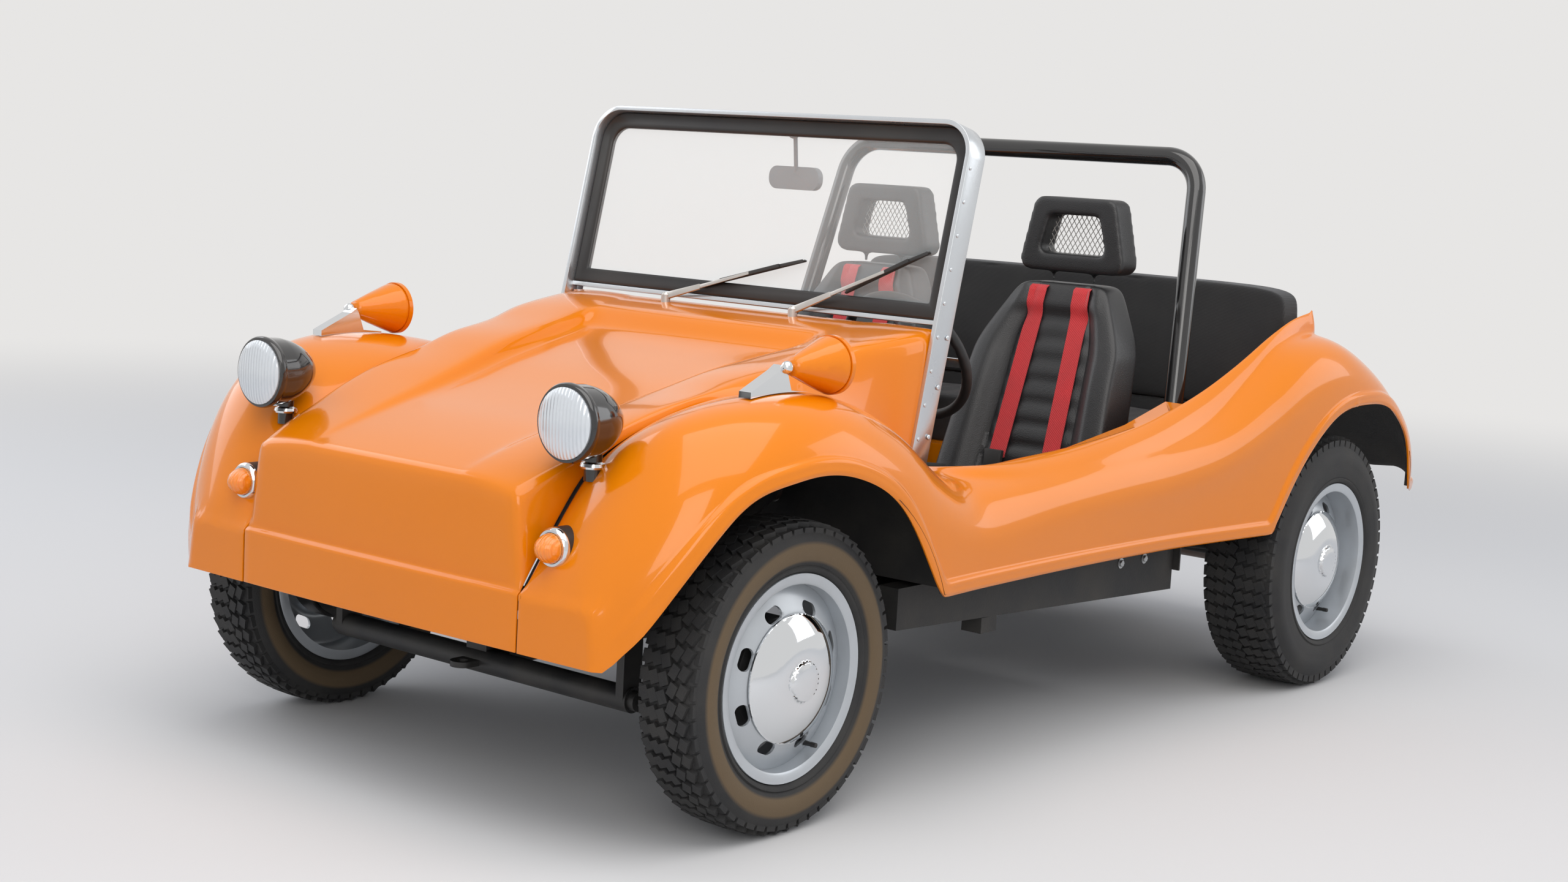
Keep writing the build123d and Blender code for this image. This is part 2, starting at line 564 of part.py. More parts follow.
def hub_cap(disc_u):
    base = disc_u + RUNNING_GAP
    dome = ThreePointArc((base + 3, 0, HUB_CAP_R), (base + 22, 0, HUB_CAP_R * 0.75), (base + 32, 0, HUB_CAP_BOSS_R + 4))
    under = ThreePointArc((base, 0, HUB_CAP_R - 4), (base + 18, 0, HUB_CAP_R * 0.73), (base + 28, 0, HUB_CAP_BOSS_R + 4))
    boss = Polyline(dome @ 1, (base + 33, 0, HUB_CAP_BOSS_R), (base + HUB_CAP_DEPTH - 2, 0, HUB_CAP_BOSS_R - 3),
                    (base + HUB_CAP_DEPTH, 0, HUB_CAP_BOSS_R * 0.6), (base + HUB_CAP_DEPTH, 0, 0),
                    (base + 28, 0, 0), under @ 1)
    return revolve(make_face([dome, boss, under, Polyline(under @ 0, (base, 0, HUB_CAP_R), dome @ 0)]), Axis.X)


WHEELS = (
    # name, x, station, radius, width, half rim, disc place
    ("front", FRONT_WHEEL_X, 0, FRONT_TYRE_R, FRONT_TYRE_W, FRONT_RIM_HALF, FRONT_DISC_U),
    ("rear", REAR_WHEEL_X, WHEELBASE, REAR_TYRE_R, REAR_TYRE_W, REAR_RIM_HALF, REAR_DISC_U),
)


def save_wheels():
    for name, x, s, r, w, rim_half, disc_u in WHEELS:
        place = Pos(x, s, r)
        for kind, piece in (("tyre", tyre(r, w, rim_half)), ("rim", rim(rim_half, disc_u)), ("hub_cap", hub_cap(disc_u))):
            left, right = both(place * piece)
            save(f"{kind}_{name}_left", left)
            save(f"{kind}_{name}_right", right)


# Rear axle: gearbox, axle tubes with brake back plates, spring plates and shock absorbers
def rear_axle():
    z = REAR_TYRE_R
    side = FORK_X - RUNNING_GAP
    piece = block(-side, side, 1990, 2215, z - 95, z + 85)
    piece += rod((0, CROSS_TUBE[0] + CROSS_R + RUNNING_GAP, z + 20), (0, 1995, z + 20), 58)
    piece += rod((0, 2210, z), (0, BELL_END, z), 165)
    plate_x = REAR_WHEEL_X + REAR_DISC_U - 37 - DRUM_DEPTH - MOVING_GAP
    for side in (1, -1):
        piece += rod((side * 80, WHEELBASE, z), (side * plate_x, WHEELBASE, z), 34)
        piece += rod((side * (plate_x - 4), WHEELBASE, z), (side * plate_x, WHEELBASE, z), DRUM_R - 6)
        piece += rod((side * plate_x, WHEELBASE, z), (side * (REAR_WHEEL_X + STUB_END_U), WHEELBASE, z), STUB_R)
        s, tube_z = CROSS_TUBE
        start, end = side * (CROSS_HALF + RUNNING_GAP), side * (CROSS_HALF + 22)
        piece += rod((start, s, tube_z), (end, s, tube_z), CROSS_R)
        piece += rod((side * (CROSS_HALF + 17), s, tube_z), (side * 560, WHEELBASE - 20, z), 14)
        piece += rod((side * 540, WHEELBASE + 60, z), (side * 500, WHEELBASE - 10, BENCH_FLOOR_Z - 10), 22)
        piece += block(*sorted((side * 520, side * 560)), WHEELBASE, WHEELBASE + 80, z - 20, z + 20)
    return piece


# Engine: crankcase, cylinder banks, upright fan housing, alternator, pulleys and air cleaner
def engine():
    z = REAR_TYRE_R
    piece = block(-150, 150, BELL_END + RUNNING_GAP, 2560, z - 110, z + 70)
    piece += block(-390, 390, 2320, 2530, z - 60, z + 30)
    piece += block(-300, 300, 2330, 2420, z + 60, 660)
    piece += rod((0, 2300, 600), (0, 2425, 600), 130)
    piece += rod((0, 2420, 560), (0, 2540, 560), 70)
    piece += rod((0, 2540, 560), (0, 2556, 560), 55) + rod((0, 2560, z - 20), (0, 2576, z - 20), 84)
    piece += block(-60, 60, 2440, 2520, z + 60, 500)
    return piece


def exhaust():
    z = REAR_TYRE_R - 98
    s = TAIL_STATION - 67
    piece = rod((-290, s, z), (290, s, z), 54)
    for side in (1, -1):
        piece += pipe([(side * 330, 2425, z), (side * 330, s - 40, z), (side * 250, s, z)], [30], 20)
        piece += rod((side * 330, 2425, z), (side * 330, 2425, REAR_TYRE_R - 60 - RUNNING_GAP), 20)
        piece += rod((side * 120, s, z - 16), (side * 120, TAIL_STATION - 2, z - 16), 18)
    return piece


def rear_bumper(tub):
    points = [(-BUMPER_X, 2560, 700), (-BUMPER_X, 2590, 400), (-BUMPER_X, TAIL_STATION - BUMPER_R, 380)]
    points += [(-x, s, z) for x, s, z in reversed(points)]
    tube = pipe(points, [40, 60, 60, 40], BUMPER_R)
    rest = tube - tub
    return sorted(rest.solids(), key=lambda solid: solid.volume)[-1]


# Windscreen: alloy strip frame with posts, rubber seal and flat glass on one leaning plane
def screen_plane():
    rise = SCREEN_TOP[1] - SCREEN_BASE[1]
    run = SCREEN_TOP[0] - SCREEN_BASE[0]
    lean = math.atan2(run, rise)
    way = (0, -math.cos(lean), math.sin(lean))
    return Plane(origin=(0, *SCREEN_BASE), x_dir=(1, 0, 0), z_dir=way), lean


def screen_outline(half, bottom, top, r):
    face = make_face(Polyline((-half, bottom), (half, bottom), (half, top), (-half, top), close=True))
    corners = face.vertices().sort_by(Axis.Y)[-2:]
    return fillet(corners, r)


def windscreen():
    plane, lean = screen_plane()
    top = (SCREEN_TOP[1] - SCREEN_BASE[1]) / math.cos(lean)
    foot = (SCREEN_FOOT[1] - SCREEN_BASE[1]) / math.cos(lean)
    strip = SCREEN_HALF - SCREEN_IN
    outside = screen_outline(SCREEN_HALF, foot, top, SCREEN_CORNER_R)
    inside = screen_outline(SCREEN_IN, foot - 10, top - strip, SCREEN_CORNER_R - strip)
    frame = extrude(plane * (outside - inside), STRIP_DEPTH / 2, both=True)
    frame += extrude(plane * (Pos(0, -3) * Rectangle(2 * SCREEN_IN + 2, 10)), 8, both=True)
    seal_out = screen_outline(SCREEN_IN - RUNNING_GAP, 2 + RUNNING_GAP, top - strip - RUNNING_GAP, SCREEN_CORNER_R - strip)
    opening = (SCREEN_IN - SEAL_W, SEAL_W, top - strip - SEAL_W, SCREEN_CORNER_R - SEAL_W)
    seal = extrude(plane * (seal_out - screen_outline(*opening)), SEAL_DEPTH / 2, both=True)
    gap = RUNNING_GAP
    pane = screen_outline(opening[0] - gap, opening[1] + gap, opening[2] - gap, opening[3])
    glass = extrude(plane * pane, GLASS / 2, both=True)
    return frame, seal, glass


def on_screen(x, up, out):
    """Point by its place on the windscreen: across, up the glass, and out in front of it."""
    plane, lean = screen_plane()
    return tuple(plane.from_local_coords(Vector(x, up, out)))


def wipers():
    pieces = []
    for pivot_x, tip_x, tip_up, blade in WIPERS:
        foot = on_screen(pivot_x, WIPER_FOOT_UP, 34)
        tip = on_screen(tip_x, tip_up, 20)
        cowl_z = max(read_off(HOOD_TABLE, foot[1] + WIPER_BOSS_R, (1, 3))) + RUNNING_GAP
        arm = rod(foot, tip, 4) + rod((foot[0], foot[1], cowl_z), (foot[0], foot[1], foot[2] + 8), WIPER_BOSS_R)
        start, end = on_screen(*blade[0], 14), on_screen(*blade[1], 14)
        arm += rod(start, end, 5) + rod(on_screen(tip_x, tip_up, 12), tip, 5)
        pieces.append(arm)
    return pieces


# Roll bar: one hoop with foot plates on the wheel wells
def roll_bar():
    foot = (ROLL_BAR_FOOT[0], ROLL_BAR_FOOT[1], WELL_TOP + RUNNING_GAP)
    corner = (ROLL_BAR_TOP_X, ROLL_BAR_STATION, ROLL_BAR_TOP)
    points = [foot, corner, (-corner[0], *corner[1:]), (-foot[0], *foot[1:])]
    bar = pipe(points, [ROLL_BAR_BEND, ROLL_BAR_BEND], ROLL_BAR_R)
    bar -= block(-900, 900, 1000, 2000, 0, WELL_TOP + RUNNING_GAP)
    for side in (1, -1):
        x0, x1 = sorted((side * (foot[0] - 20), side * (foot[0] + 60)))
        bar += block(x0, x1, foot[1] - 30, foot[1] + 50, foot[2], foot[2] + 5)
    return bar


def about_y(points, x, s, z):
    """Solid of revolution about a line along the car, from (station, radius) points, moved to its place."""
    face = make_face(Polyline(*[(r, u, 0) for u, r in points], close=True))
    return Pos(x, s, z) * revolve(face, Axis.Y)


# Headlamps: black bowls on chrome feet, with round glasses
def headlamps(tub, panel):
    x, s, z = LAMP_CENTRE
    bowl = ((0, LAMP_R - 6), (3, LAMP_R), (14, LAMP_R), (20, LAMP_R - 3), (60, LAMP_R - 8), (95, LAMP_R - 24),
            (125, LAMP_R - 50), (LAMP_DEPTH, 0), (4, 0), (4, LAMP_R - 6))
    shell = about_y(bowl, x, s, z)
    foot = rod((*LAMP_FOOT, z - LAMP_R - 40), (*LAMP_FOOT, z - 40), 17)
    foot += rod((*LAMP_FOOT, z - LAMP_R - 12), (*LAMP_FOOT, z - LAMP_R - 4), 22)
    shell += foot - tub - panel
    shell = sorted(shell.solids(), key=lambda solid: solid.volume)[-1]
    lens = ((3.7, 0), (3.7, LENS_R), (-2, LENS_R), (-9, LENS_R * 0.6), (-12, 0))
    return shell, about_y(lens, x, s, z)


def indicators(tub):
    x, s, z = INDICATOR
    base = rod((x, s - 6, z), (x, s + 60, z), INDICATOR_R) + rod((x, s - 12, z), (x, s - 6, z), INDICATOR_R - 5)
    base = sorted((base - tub).solids(), key=lambda solid: solid.center().Y)[0]
    lens = about_y(((0, 0), (0, 29), (-12, 26), (-26, 17), (-33, 8), (-36, 3), (-36, 0)), x, s - 12 - RUNNING_GAP, z)
    return base, lens


def tail_lamps(tub):
    x, s, z = TAIL_LAMP
    base = rod((x, s - 60, z), (x, s + 34, z), TAIL_LAMP_R) - tub
    base = sorted(base.solids(), key=lambda solid: solid.center().Y)[-1]
    profile = ((0, 0), (0, TAIL_LAMP_R - 4), (14, TAIL_LAMP_R - 6), (22, TAIL_LAMP_R - 22), (24, 0))
    lens = about_y(profile, x, s + 34 + RUNNING_GAP, z)
    return base, lens


# Door mirrors: a wedge foot on the fender and a cone head that faces back
def door_mirror(tub):
    x, front, back = MIRROR_FOOT
    bx, bs, bz = MIRROR_BALL
    side = Polyline((front, 850), (back, 850), (back, 861), (bs + 18, 866), (bs + 4, bz - 10), (bs - 4, bz + 4),
                    (bs - 20, bz - 6), (front, 868), close=True)
    wedge = extrude(Plane(origin=(x - 15, 0, 0), x_dir=(0, 1, 0), z_dir=(1, 0, 0)) * make_face(side), 30)
    foot = sorted((wedge - tub).solids(), key=lambda solid: solid.volume)[-1]
    foot += Pos(bx, bs, bz) * Sphere(13)
    r, length = MIRROR_HEAD_R, MIRROR_HEAD_LENGTH
    shape = ((0, 0), (0, 17), (length * 0.35, r * 0.6), (length * 0.75, r * 0.92), (length - 18, r), (length, r - 4),
             (length, r - 8), (length - 5, r - 8), (length - 5, 0))
    head = about_y(shape, bx, bs + 13 + RUNNING_GAP, bz)
    return foot, head


def interior_mirror():
    x, s, z = INSIDE_MIRROR
    head = Pos(x, s, z) * Rot(90, 0, 0) * extrude(RectangleRounded(150, 54, 24), 9, both=True)
    up = SCREEN_TOP[1] - SCREEN_BASE[1] - 26
    top = on_screen(x + 26, up, -SEAL_DEPTH / 2 - RUNNING_GAP)
    end = on_screen(x + 26, up, -SEAL_DEPTH / 2 - 9)
    return head + rod(top, end, 14) + rod(end, (x, s + 2, z), 5)


# Seats: two buckets on frames, headrests on posts, harness straps, and a bench behind
def seat_station(side):
    return SEAT_STATION + (DRIVER_SEAT_SHIFT if side > 0 else 0)


def slab_between(low, high):
    """Solid between two level rectangles, each (x, station, height, width, depth)."""
    faces = [Pos(x, s, z) * Rectangle(w, d) for x, s, z, w, d in (low, high)]
    return loft([Sketch() + face for face in faces])


def seats():
    cushions, backs, rests, straps, frames = [], [], [], [], []
    for side in (1, -1):
        x, s = side * SEAT_X, seat_station(side)
        back = slab_between((x, s - 190, CUSHION_LOW, 500, 110), (x, s - 15, 1035, 390, 80))
        backs.append(back)
        seat_low = CUSHION_LOW
        profile = [(s - 640, seat_low), (s - 262, seat_low), (s - 238, 565), (s - 300, 560), (s - 620, 600), (s - 655, 575)]
        outline = make_face(Polyline(*[(x - 245, a, b) for a, b in profile], close=True))
        seat = extrude(outline, 490, dir=(1, 0, 0))
        cushions.append(seat)
        base = seat_low - RUNNING_GAP
        frame = block(x - 200, x + 200, s - 600, s - 290, base - 25, base)
        for dx in (-195, 165):
            frame += block(x + dx, x + dx + 30, s - 600, s - 290, PAN_BOTTOM + PAN_PLATE + RUNNING_GAP, base)
        frame += block(x - 200, x + 200, s - 300, s - 150, base - 25, base)
        frames.append(frame)
        low, high = HEADREST
        shape = make_face(Polyline((-160, low), (160, low), (118, high), (-118, high), close=True))
        shape = fillet(shape.vertices(), 30)
        hole = make_face(Polyline((-98, low + 46), (98, low + 46), (72, high - 44), (-72, high - 44), close=True))
        hole = fillet(hole.vertices(), 14)
        face_plane = Plane(origin=(x, s, 0), x_dir=(1, 0, 0), z_dir=(0, -1, 0))
        rest = extrude(face_plane * (shape - hole), 38, both=True)
        for dx in (-60, 60):
            rest += rod((x + dx, s - 15, 1035 + RUNNING_GAP), (x + dx, s - 15, low + 10), 6)
        rests.append(rest)
        for dx in (-62, 62):
            top, bottom = (x + dx, s - 58.9, 1030), (x + dx * 1.25, s - 193.2, 600)
            strap = slab_between((bottom[0], bottom[1], bottom[2], 50, 3), (top[0], top[1], top[2], 50, 3))
            straps.append(strap)
    return cushions, backs, rests, straps, frames


def rear_bench():
    floor = BENCH_FLOOR_Z + BODY_WALL + RUNNING_GAP
    half, back = WELL_X - BODY_WALL - TRIM_GAP, SIDE_TABLE[-1][0] - BODY_WALL - RUNNING_GAP
    cushion = block(-half, half, 1650, 1968, floor, 690)
    rear = block(-half, half, 1970, back, floor, WELL_TOP + RUNNING_GAP)
    lean = [(s, z) for s, z in ((1970, WELL_TOP), (back, WELL_TOP), (back, 1040), (2040, 1045), (2005, 1030))]
    lean = [(-BENCH_HALF, s, z + RUNNING_GAP) for s, z in lean]
    rear += extrude(make_face(Polyline(*lean, close=True)), 2 * BENCH_HALF, dir=(1, 0, 0))
    return cushion, rear


def dashboard():
    return block(-546, 546, 612, 640, 800, 905) + block(-546, 546, 628, 640, 800, 948)


# Steering: box on the beam, column tube, and the wheel whose shaft turns inside it
def steering_column():
    column = rod(COLUMN_LOW, COLUMN_HIGH, COLUMN_R)
    box_front = BEAM_STATION + BEAM_TUBE_R + RUNNING_GAP
    column += block(STEERING_X - 32, STEERING_X + 32, box_front, 40, 350, 410)
    s = 628
    z = STEERING_CENTRE[1] - (STEERING_CENTRE[0] - s) * math.tan(math.radians(COLUMN_TILT))
    column += block(STEERING_X - 12, STEERING_X + 12, s - 6, s + 6, z, 800 - RUNNING_GAP)
    column -= rod(point_on_column(-320), COLUMN_HIGH, SHAFT_R + RUNNING_GAP)
    return column


def point_on_column(along):
    """Point on the steering axis, by its distance up the column from the steering wheel's centre."""
    return (STEERING_X, *[STEERING_CENTRE[i] + along * COLUMN_WAY[i + 1] for i in (0, 1)])


def steering_wheel():
    plane = Plane(origin=point_on_column(0), x_dir=(1, 0, 0), z_dir=COLUMN_WAY)
    wheel = Torus(STEERING_R - 12, 12) + Pos(0, 0, -30) * Cylinder(30, 46)
    for angle in (0, 90, 180):
        spoke = Pos((STEERING_R - 10) / 2, 0, -4) * Box(STEERING_R - 14, 24, 6)
        wheel += Rot(0, 0, angle) * spoke
    wheel = plane * wheel
    return wheel + rod(point_on_column(-300), point_on_column(-40), SHAFT_R)


def controls():
    lever = rod((0, 1010, TUNNEL_TOP + 6), (0, 950, 690), 7) + Pos(0, 950, 695) * Sphere(22)
    lever += rod((0, 1010, TUNNEL_TOP + RUNNING_GAP), (0, 1010, TUNNEL_TOP + 24), 26)
    brake = rod((0, 1260, TUNNEL_TOP + 30), (0, 1080, 560), 10)
    brake += block(-16, 16, 1230, 1290, TUNNEL_TOP + RUNNING_GAP, TUNNEL_TOP + 44)
    return lever, brake


def fuel_tank():
    tank = block(-330, 330, -100, 290, 560, 700)
    for x in (-330, 310):
        tank += block(x, x + 20, 290, SIDE_TABLE[FIREWALL_ROW][0] - RUNNING_GAP, 650, 690)
    return tank


tub = body_tub()
panel = front_panel()
frame, seal, glass = windscreen()
lamp, lamp_glass = headlamps(tub, panel)
indicator, indicator_lens = indicators(tub)
tail_base, tail_lens = tail_lamps(tub)
mirror_foot, mirror_head = door_mirror(tub)
cushions, backs, rests, straps, frames = seats()
bench_cushion, bench_back = rear_bench()
NODES = {
    "body_tub": [tub],
    "front_panel": [panel],
    "floor_pan": floor_pan(),
    "front_axle_beam": [front_axle_beam()],
    "knuckle_left": [knuckle()],
    "knuckle_right": [mirror(knuckle(), Plane.YZ)],
    "track_rod": [track_rod()],
    "rear_axle": [rear_axle()],
    "engine": [engine()],
    "exhaust": [exhaust()],
    "rear_bumper": [rear_bumper(tub)],
    "windscreen_frame": [frame],
    "windscreen_seal": [seal],
    "windscreen_glass": [glass],
    "wipers": wipers(),
    "roll_bar": [roll_bar()],
    "headlamp_shells": both(lamp),
    "headlamp_lenses": both(lamp_glass),
    "indicator_bases": both(indicator),
    "indicator_lenses": both(indicator_lens),
    "tail_lamp_bases": both(tail_base),
    "tail_lamp_lenses": both(tail_lens),
    "mirror_feet": both(mirror_foot),
    "mirror_heads": both(mirror_head),
    "interior_mirror": [interior_mirror()],
    "seat_cushions": cushions,
    "seat_backs": backs,
    "headrests": rests,
    "harness_straps": straps,
    "seat_frames": frames,
    "rear_seat_cushion": [bench_cushion],
    "rear_seat_back": [bench_back],
    "dashboard": [dashboard()],
    "steering_column": [steering_column()],
    "steering_wheel": [steering_wheel()],
    "hand_levers": list(controls()),
    "fuel_tank": [fuel_tank()],
}
os.makedirs("parts", exist_ok=True)
save_wheels()
for name, pieces in NODES.items():
    save(name, *pieces)
    for piece in pieces:
        if not piece.is_valid or len(piece.solids()) != 1:
            print("check", name, piece.is_valid, len(piece.solids()))
print("saved", len(NODES) + 6 * len(WHEELS), "nodes")
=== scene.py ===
import math

import bpy
from mathutils import Matrix, Vector
from mathutils.bvhtree import BVHTree


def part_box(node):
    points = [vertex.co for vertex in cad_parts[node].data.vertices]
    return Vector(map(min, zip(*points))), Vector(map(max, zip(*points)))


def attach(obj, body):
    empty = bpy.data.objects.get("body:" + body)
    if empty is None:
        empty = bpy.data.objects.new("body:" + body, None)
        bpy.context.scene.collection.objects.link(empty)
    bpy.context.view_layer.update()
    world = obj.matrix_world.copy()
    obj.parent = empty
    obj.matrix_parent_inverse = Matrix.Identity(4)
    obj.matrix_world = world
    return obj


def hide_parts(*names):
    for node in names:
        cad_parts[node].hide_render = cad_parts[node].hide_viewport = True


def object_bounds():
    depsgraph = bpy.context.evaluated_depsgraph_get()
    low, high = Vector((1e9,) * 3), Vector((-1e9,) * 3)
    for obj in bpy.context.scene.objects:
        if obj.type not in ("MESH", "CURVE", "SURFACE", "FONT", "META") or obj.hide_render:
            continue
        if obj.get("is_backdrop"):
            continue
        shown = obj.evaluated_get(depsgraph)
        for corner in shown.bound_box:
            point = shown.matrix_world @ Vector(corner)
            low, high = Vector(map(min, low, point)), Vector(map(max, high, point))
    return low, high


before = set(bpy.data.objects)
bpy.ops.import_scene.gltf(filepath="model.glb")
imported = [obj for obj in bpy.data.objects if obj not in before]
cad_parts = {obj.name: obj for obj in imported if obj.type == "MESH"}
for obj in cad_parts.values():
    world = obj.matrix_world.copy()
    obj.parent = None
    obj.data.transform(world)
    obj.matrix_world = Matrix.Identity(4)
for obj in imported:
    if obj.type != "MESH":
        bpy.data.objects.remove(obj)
cad_low, cad_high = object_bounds()

# Photographer's view: a camera at standing height off the car's left front corner,
# turned a little clockwise, with a short telephoto lens.
azimuth, elevation, roll = (math.radians(a) for a in (38.937, 7.381, 3.198))
camera_back = Vector((math.sin(azimuth) * math.cos(elevation), -math.cos(azimuth) * math.cos(elevation),
                      math.sin(elevation)))
camera_right = (-camera_back).cross(Vector((0, 0, 1))).normalized()
camera_up = camera_right.cross(-camera_back)
camera_x = camera_right * math.cos(roll) + camera_up * math.sin(roll)
camera_y = camera_up * math.cos(roll) - camera_right * math.sin(roll)
bpy.ops.object.camera_add()
camera = bpy.context.object
camera_axes = Matrix((camera_x, camera_y, camera_back)).transposed().to_4x4()
camera.matrix_world = Matrix.Translation((3.3517, -4.4523, 1.3253)) @ camera_axes
camera.data.sensor_width = 36
camera.data.lens = 51.276
bpy.context.scene.camera = camera
bpy.context.scene.view_settings.view_transform = "Standard"

# Studio: a pale floor that fades into an even pale background, plain soft light from the world,
# and large lamps over the car and at its sides, so that gloss paint shows broad clean reflections.
def wire(tree, node, wires):
    """Set or link a node's inputs."""
    for socket, source in wires:
        if hasattr(source, "is_output"):
            tree.links.new(source, node.inputs[socket])
        else:
            node.inputs[socket].default_value = source
    return node


def put(tree, kind, wires=(), **settings):
    """New node with its settings and inputs."""
    node = tree.nodes.new(kind)
    for key, value in settings.items():
        setattr(node, key, value)
    return wire(tree, node, wires)


def own_place(tree):
    return put(tree, "ShaderNodeTexCoord").outputs["Object"]


def new_material(name):
    material = bpy.data.materials.new(name)
    material.use_nodes = True
    return material, material.node_tree, material.node_tree.nodes["Principled BSDF"]


def fresh(add, **shape):
    """New primitive, alone in the selection."""
    bpy.ops.object.select_all(action="DESELECT")
    add(**shape)
    return bpy.context.object


pale = (0.80, 0.79, 0.78, 1)
world = bpy.data.worlds.new("studio_air")
bpy.context.scene.world = world
world.use_nodes = True
air = world.node_tree
air.nodes.clear()
rays = put(air, "ShaderNodeLightPath").outputs
seen = put(air, "ShaderNodeMath", ((0, rays["Is Camera Ray"]), (1, rays["Is Glossy Ray"])), operation="MAXIMUM")
seen = put(air, "ShaderNodeMath", ((0, seen.outputs[0]), (1, rays["Is Transmission Ray"])), operation="MAXIMUM")
light = put(air, "ShaderNodeBackground", (("Color", (0.88, 0.92, 1.0, 1)), ("Strength", 0.62)))
backdrop = put(air, "ShaderNodeBackground", (("Color", pale),))
mix = put(air, "ShaderNodeMixShader", (("Fac", seen.outputs[0]), (1, light.outputs[0]),
                                       (2, backdrop.outputs[0])))
put(air, "ShaderNodeOutputWorld", (("Surface", mix.outputs[0]),))
for name, place, size, power, colour in (
    ("overhead_box", (1.5, -1.5, 4.8), 5.0, 150, (1, 0.98, 0.96)),
    ("front_box", (4.5, -6.0, 3.4), 3.5, 110, (1, 0.98, 0.95)),
    ("side_box", (-5.5, -1.5, 3.5), 4.0, 70, (0.92, 0.95, 1)),
    ("rear_box", (5.0, 5.5, 3.5), 4.0, 70, (0.95, 0.97, 1)),
):
    bpy.ops.object.light_add(type="AREA", location=place)
    lamp = bpy.context.object
    lamp.name = name
    lamp.data.size = size
    lamp.data.energy = power
    lamp.data.color = colour
    lamp.rotation_euler = (Vector((0, 0, 0.5)) - Vector(place)).to_track_quat("-Z", "Y").to_euler()
floor = fresh(bpy.ops.mesh.primitive_plane_add, size=80, location=(0, 0, -0.0005))
floor.name = "pale_floor"
floor_paint, ground, near = new_material("pale_floor")
wire(ground, near, (("Roughness", 0.95), ("Specular IOR Level", 0.1), ("Base Color", (0.70, 0.69, 0.68, 1))))
far = put(ground, "ShaderNodeEmission", (("Color", pale),))
reach = put(ground, "ShaderNodeVectorMath", ((0, own_place(ground)),), operation="LENGTH")
fade = put(ground, "ShaderNodeMapRange", (("Value", reach.outputs["Value"]), ("From Min", 3.2),
                                          ("From Max", 9.0)), interpolation_type="SMOOTHSTEP")
mix = put(ground, "ShaderNodeMixShader", (("Fac", fade.outputs[0]), (1, near.outputs[0]), (2, far.outputs[0])))
wire(ground, ground.nodes["Material Output"], (("Surface", mix.outputs[0]),))
floor.data.materials.append(floor_paint)
floor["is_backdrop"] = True


# Body: one glass-fibre moulding of fenders, sides, cockpit and tail under deep glossy orange gelcoat. Its skin
# is led through stations along the car, with a raised lip round the arches and sill and black underseal inside.
def smooth(low, high, value):
    """0 to 1 as value goes from low to high, easing at both ends."""
    share = min(max((value - low) / (high - low), 0), 1)
    return share * share * (3 - 2 * share)


def node_group(name, inputs, outputs):
    """New group; a socket called Colour or Dust is a colour, every other one a number."""
    tree = bpy.data.node_groups.new(name, "ShaderNodeTree")
    for sockets, way in ((inputs, "INPUT"), (outputs, "OUTPUT")):
        for socket in sockets:
            kind = "NodeSocketColor" if socket in ("Colour", "Dust") else "NodeSocketFloat"
            tree.interface.new_socket(name=socket, in_out=way, socket_type=kind)
    return tree, tree.nodes.new("NodeGroupInput").outputs, tree.nodes.new("NodeGroupOutput").inputs


def patina_group():
    """Dust in slow patches over a colour, roughness that follows it, and a fine grain as height."""
    tree, given, result = node_group(
        "patina",
        ("Colour", "Dust", "Patch Scale", "Dust Amount", "Roughness", "Roughness Spread", "Grain Scale"),
        ("Colour", "Roughness", "Height"))
    place = own_place(tree)
    patch = put(tree, "ShaderNodeTexNoise",
                (("Vector", place), ("Scale", given["Patch Scale"]), ("Detail", 6.0)))
    mask = put(tree, "ShaderNodeMapRange", (("Value", patch.outputs["Fac"]), ("From Min", 0.35),
                                            ("From Max", 0.75), ("To Max", given["Dust Amount"])))
    tint = put(tree, "ShaderNodeMix", ((0, mask.outputs[0]), (6, given["Colour"]), (7, given["Dust"])),
               data_type="RGBA")
    rough = put(tree, "ShaderNodeMath", ((0, patch.outputs["Fac"]), (1, given["Roughness Spread"]),
                                         (2, given["Roughness"])), operation="MULTIPLY_ADD")
    grain = put(tree, "ShaderNodeTexNoise",
                (("Vector", place), ("Scale", given["Grain Scale"]), ("Detail", 3.0)))
    tree.links.new(tint.outputs[2], result["Colour"])
    tree.links.new(rough.outputs[0], result["Roughness"])
    tree.links.new(grain.outputs["Fac"], result["Height"])
    return tree


patina = patina_group()


def finish(name, colour, roughness, dust=(0.3, 0.27, 0.22), dust_amount=0.08, patch=3.0, spread=0.06,
           grain=300.0, bump=0.02, **sockets):
    """Material of this car: colour and roughness through the patina, its grain through a bump."""
    material, tree, shader = new_material(name)
    for key, value in sockets.items():
        shader.inputs[key.replace("_", " ")].default_value = value
    look = put(tree, "ShaderNodeGroup", node_tree=patina)
    wire(tree, look, (("Colour", (*colour, 1)), ("Dust", (*dust, 1)), ("Patch Scale", patch),
                      ("Dust Amount", dust_amount), ("Roughness", roughness), ("Roughness Spread", spread),
                      ("Grain Scale", grain)))
    look.name = "look"
    tree.links.new(look.outputs["Colour"], shader.inputs["Base Color"])
    tree.links.new(look.outputs["Roughness"], shader.inputs["Roughness"])
    if bump:
        relief = put(tree, "ShaderNodeBump", (("Strength", bump), ("Distance", 0.002),
                                              ("Height", look.outputs["Height"])))
        relief.name = "relief"
        tree.links.new(relief.outputs[0], shader.inputs["Normal"])
    return material


def emboss(material, kind, scale, output, distance, **settings):
    """Bump that follows a texture instead of the grain."""
    tree = material.node_tree
    texture = put(tree, kind, (("Vector", own_place(tree)), ("Scale", scale)), **settings)
    wire(tree, tree.nodes["relief"], (("Height", texture.outputs[output]), ("Distance", distance)))
    return material


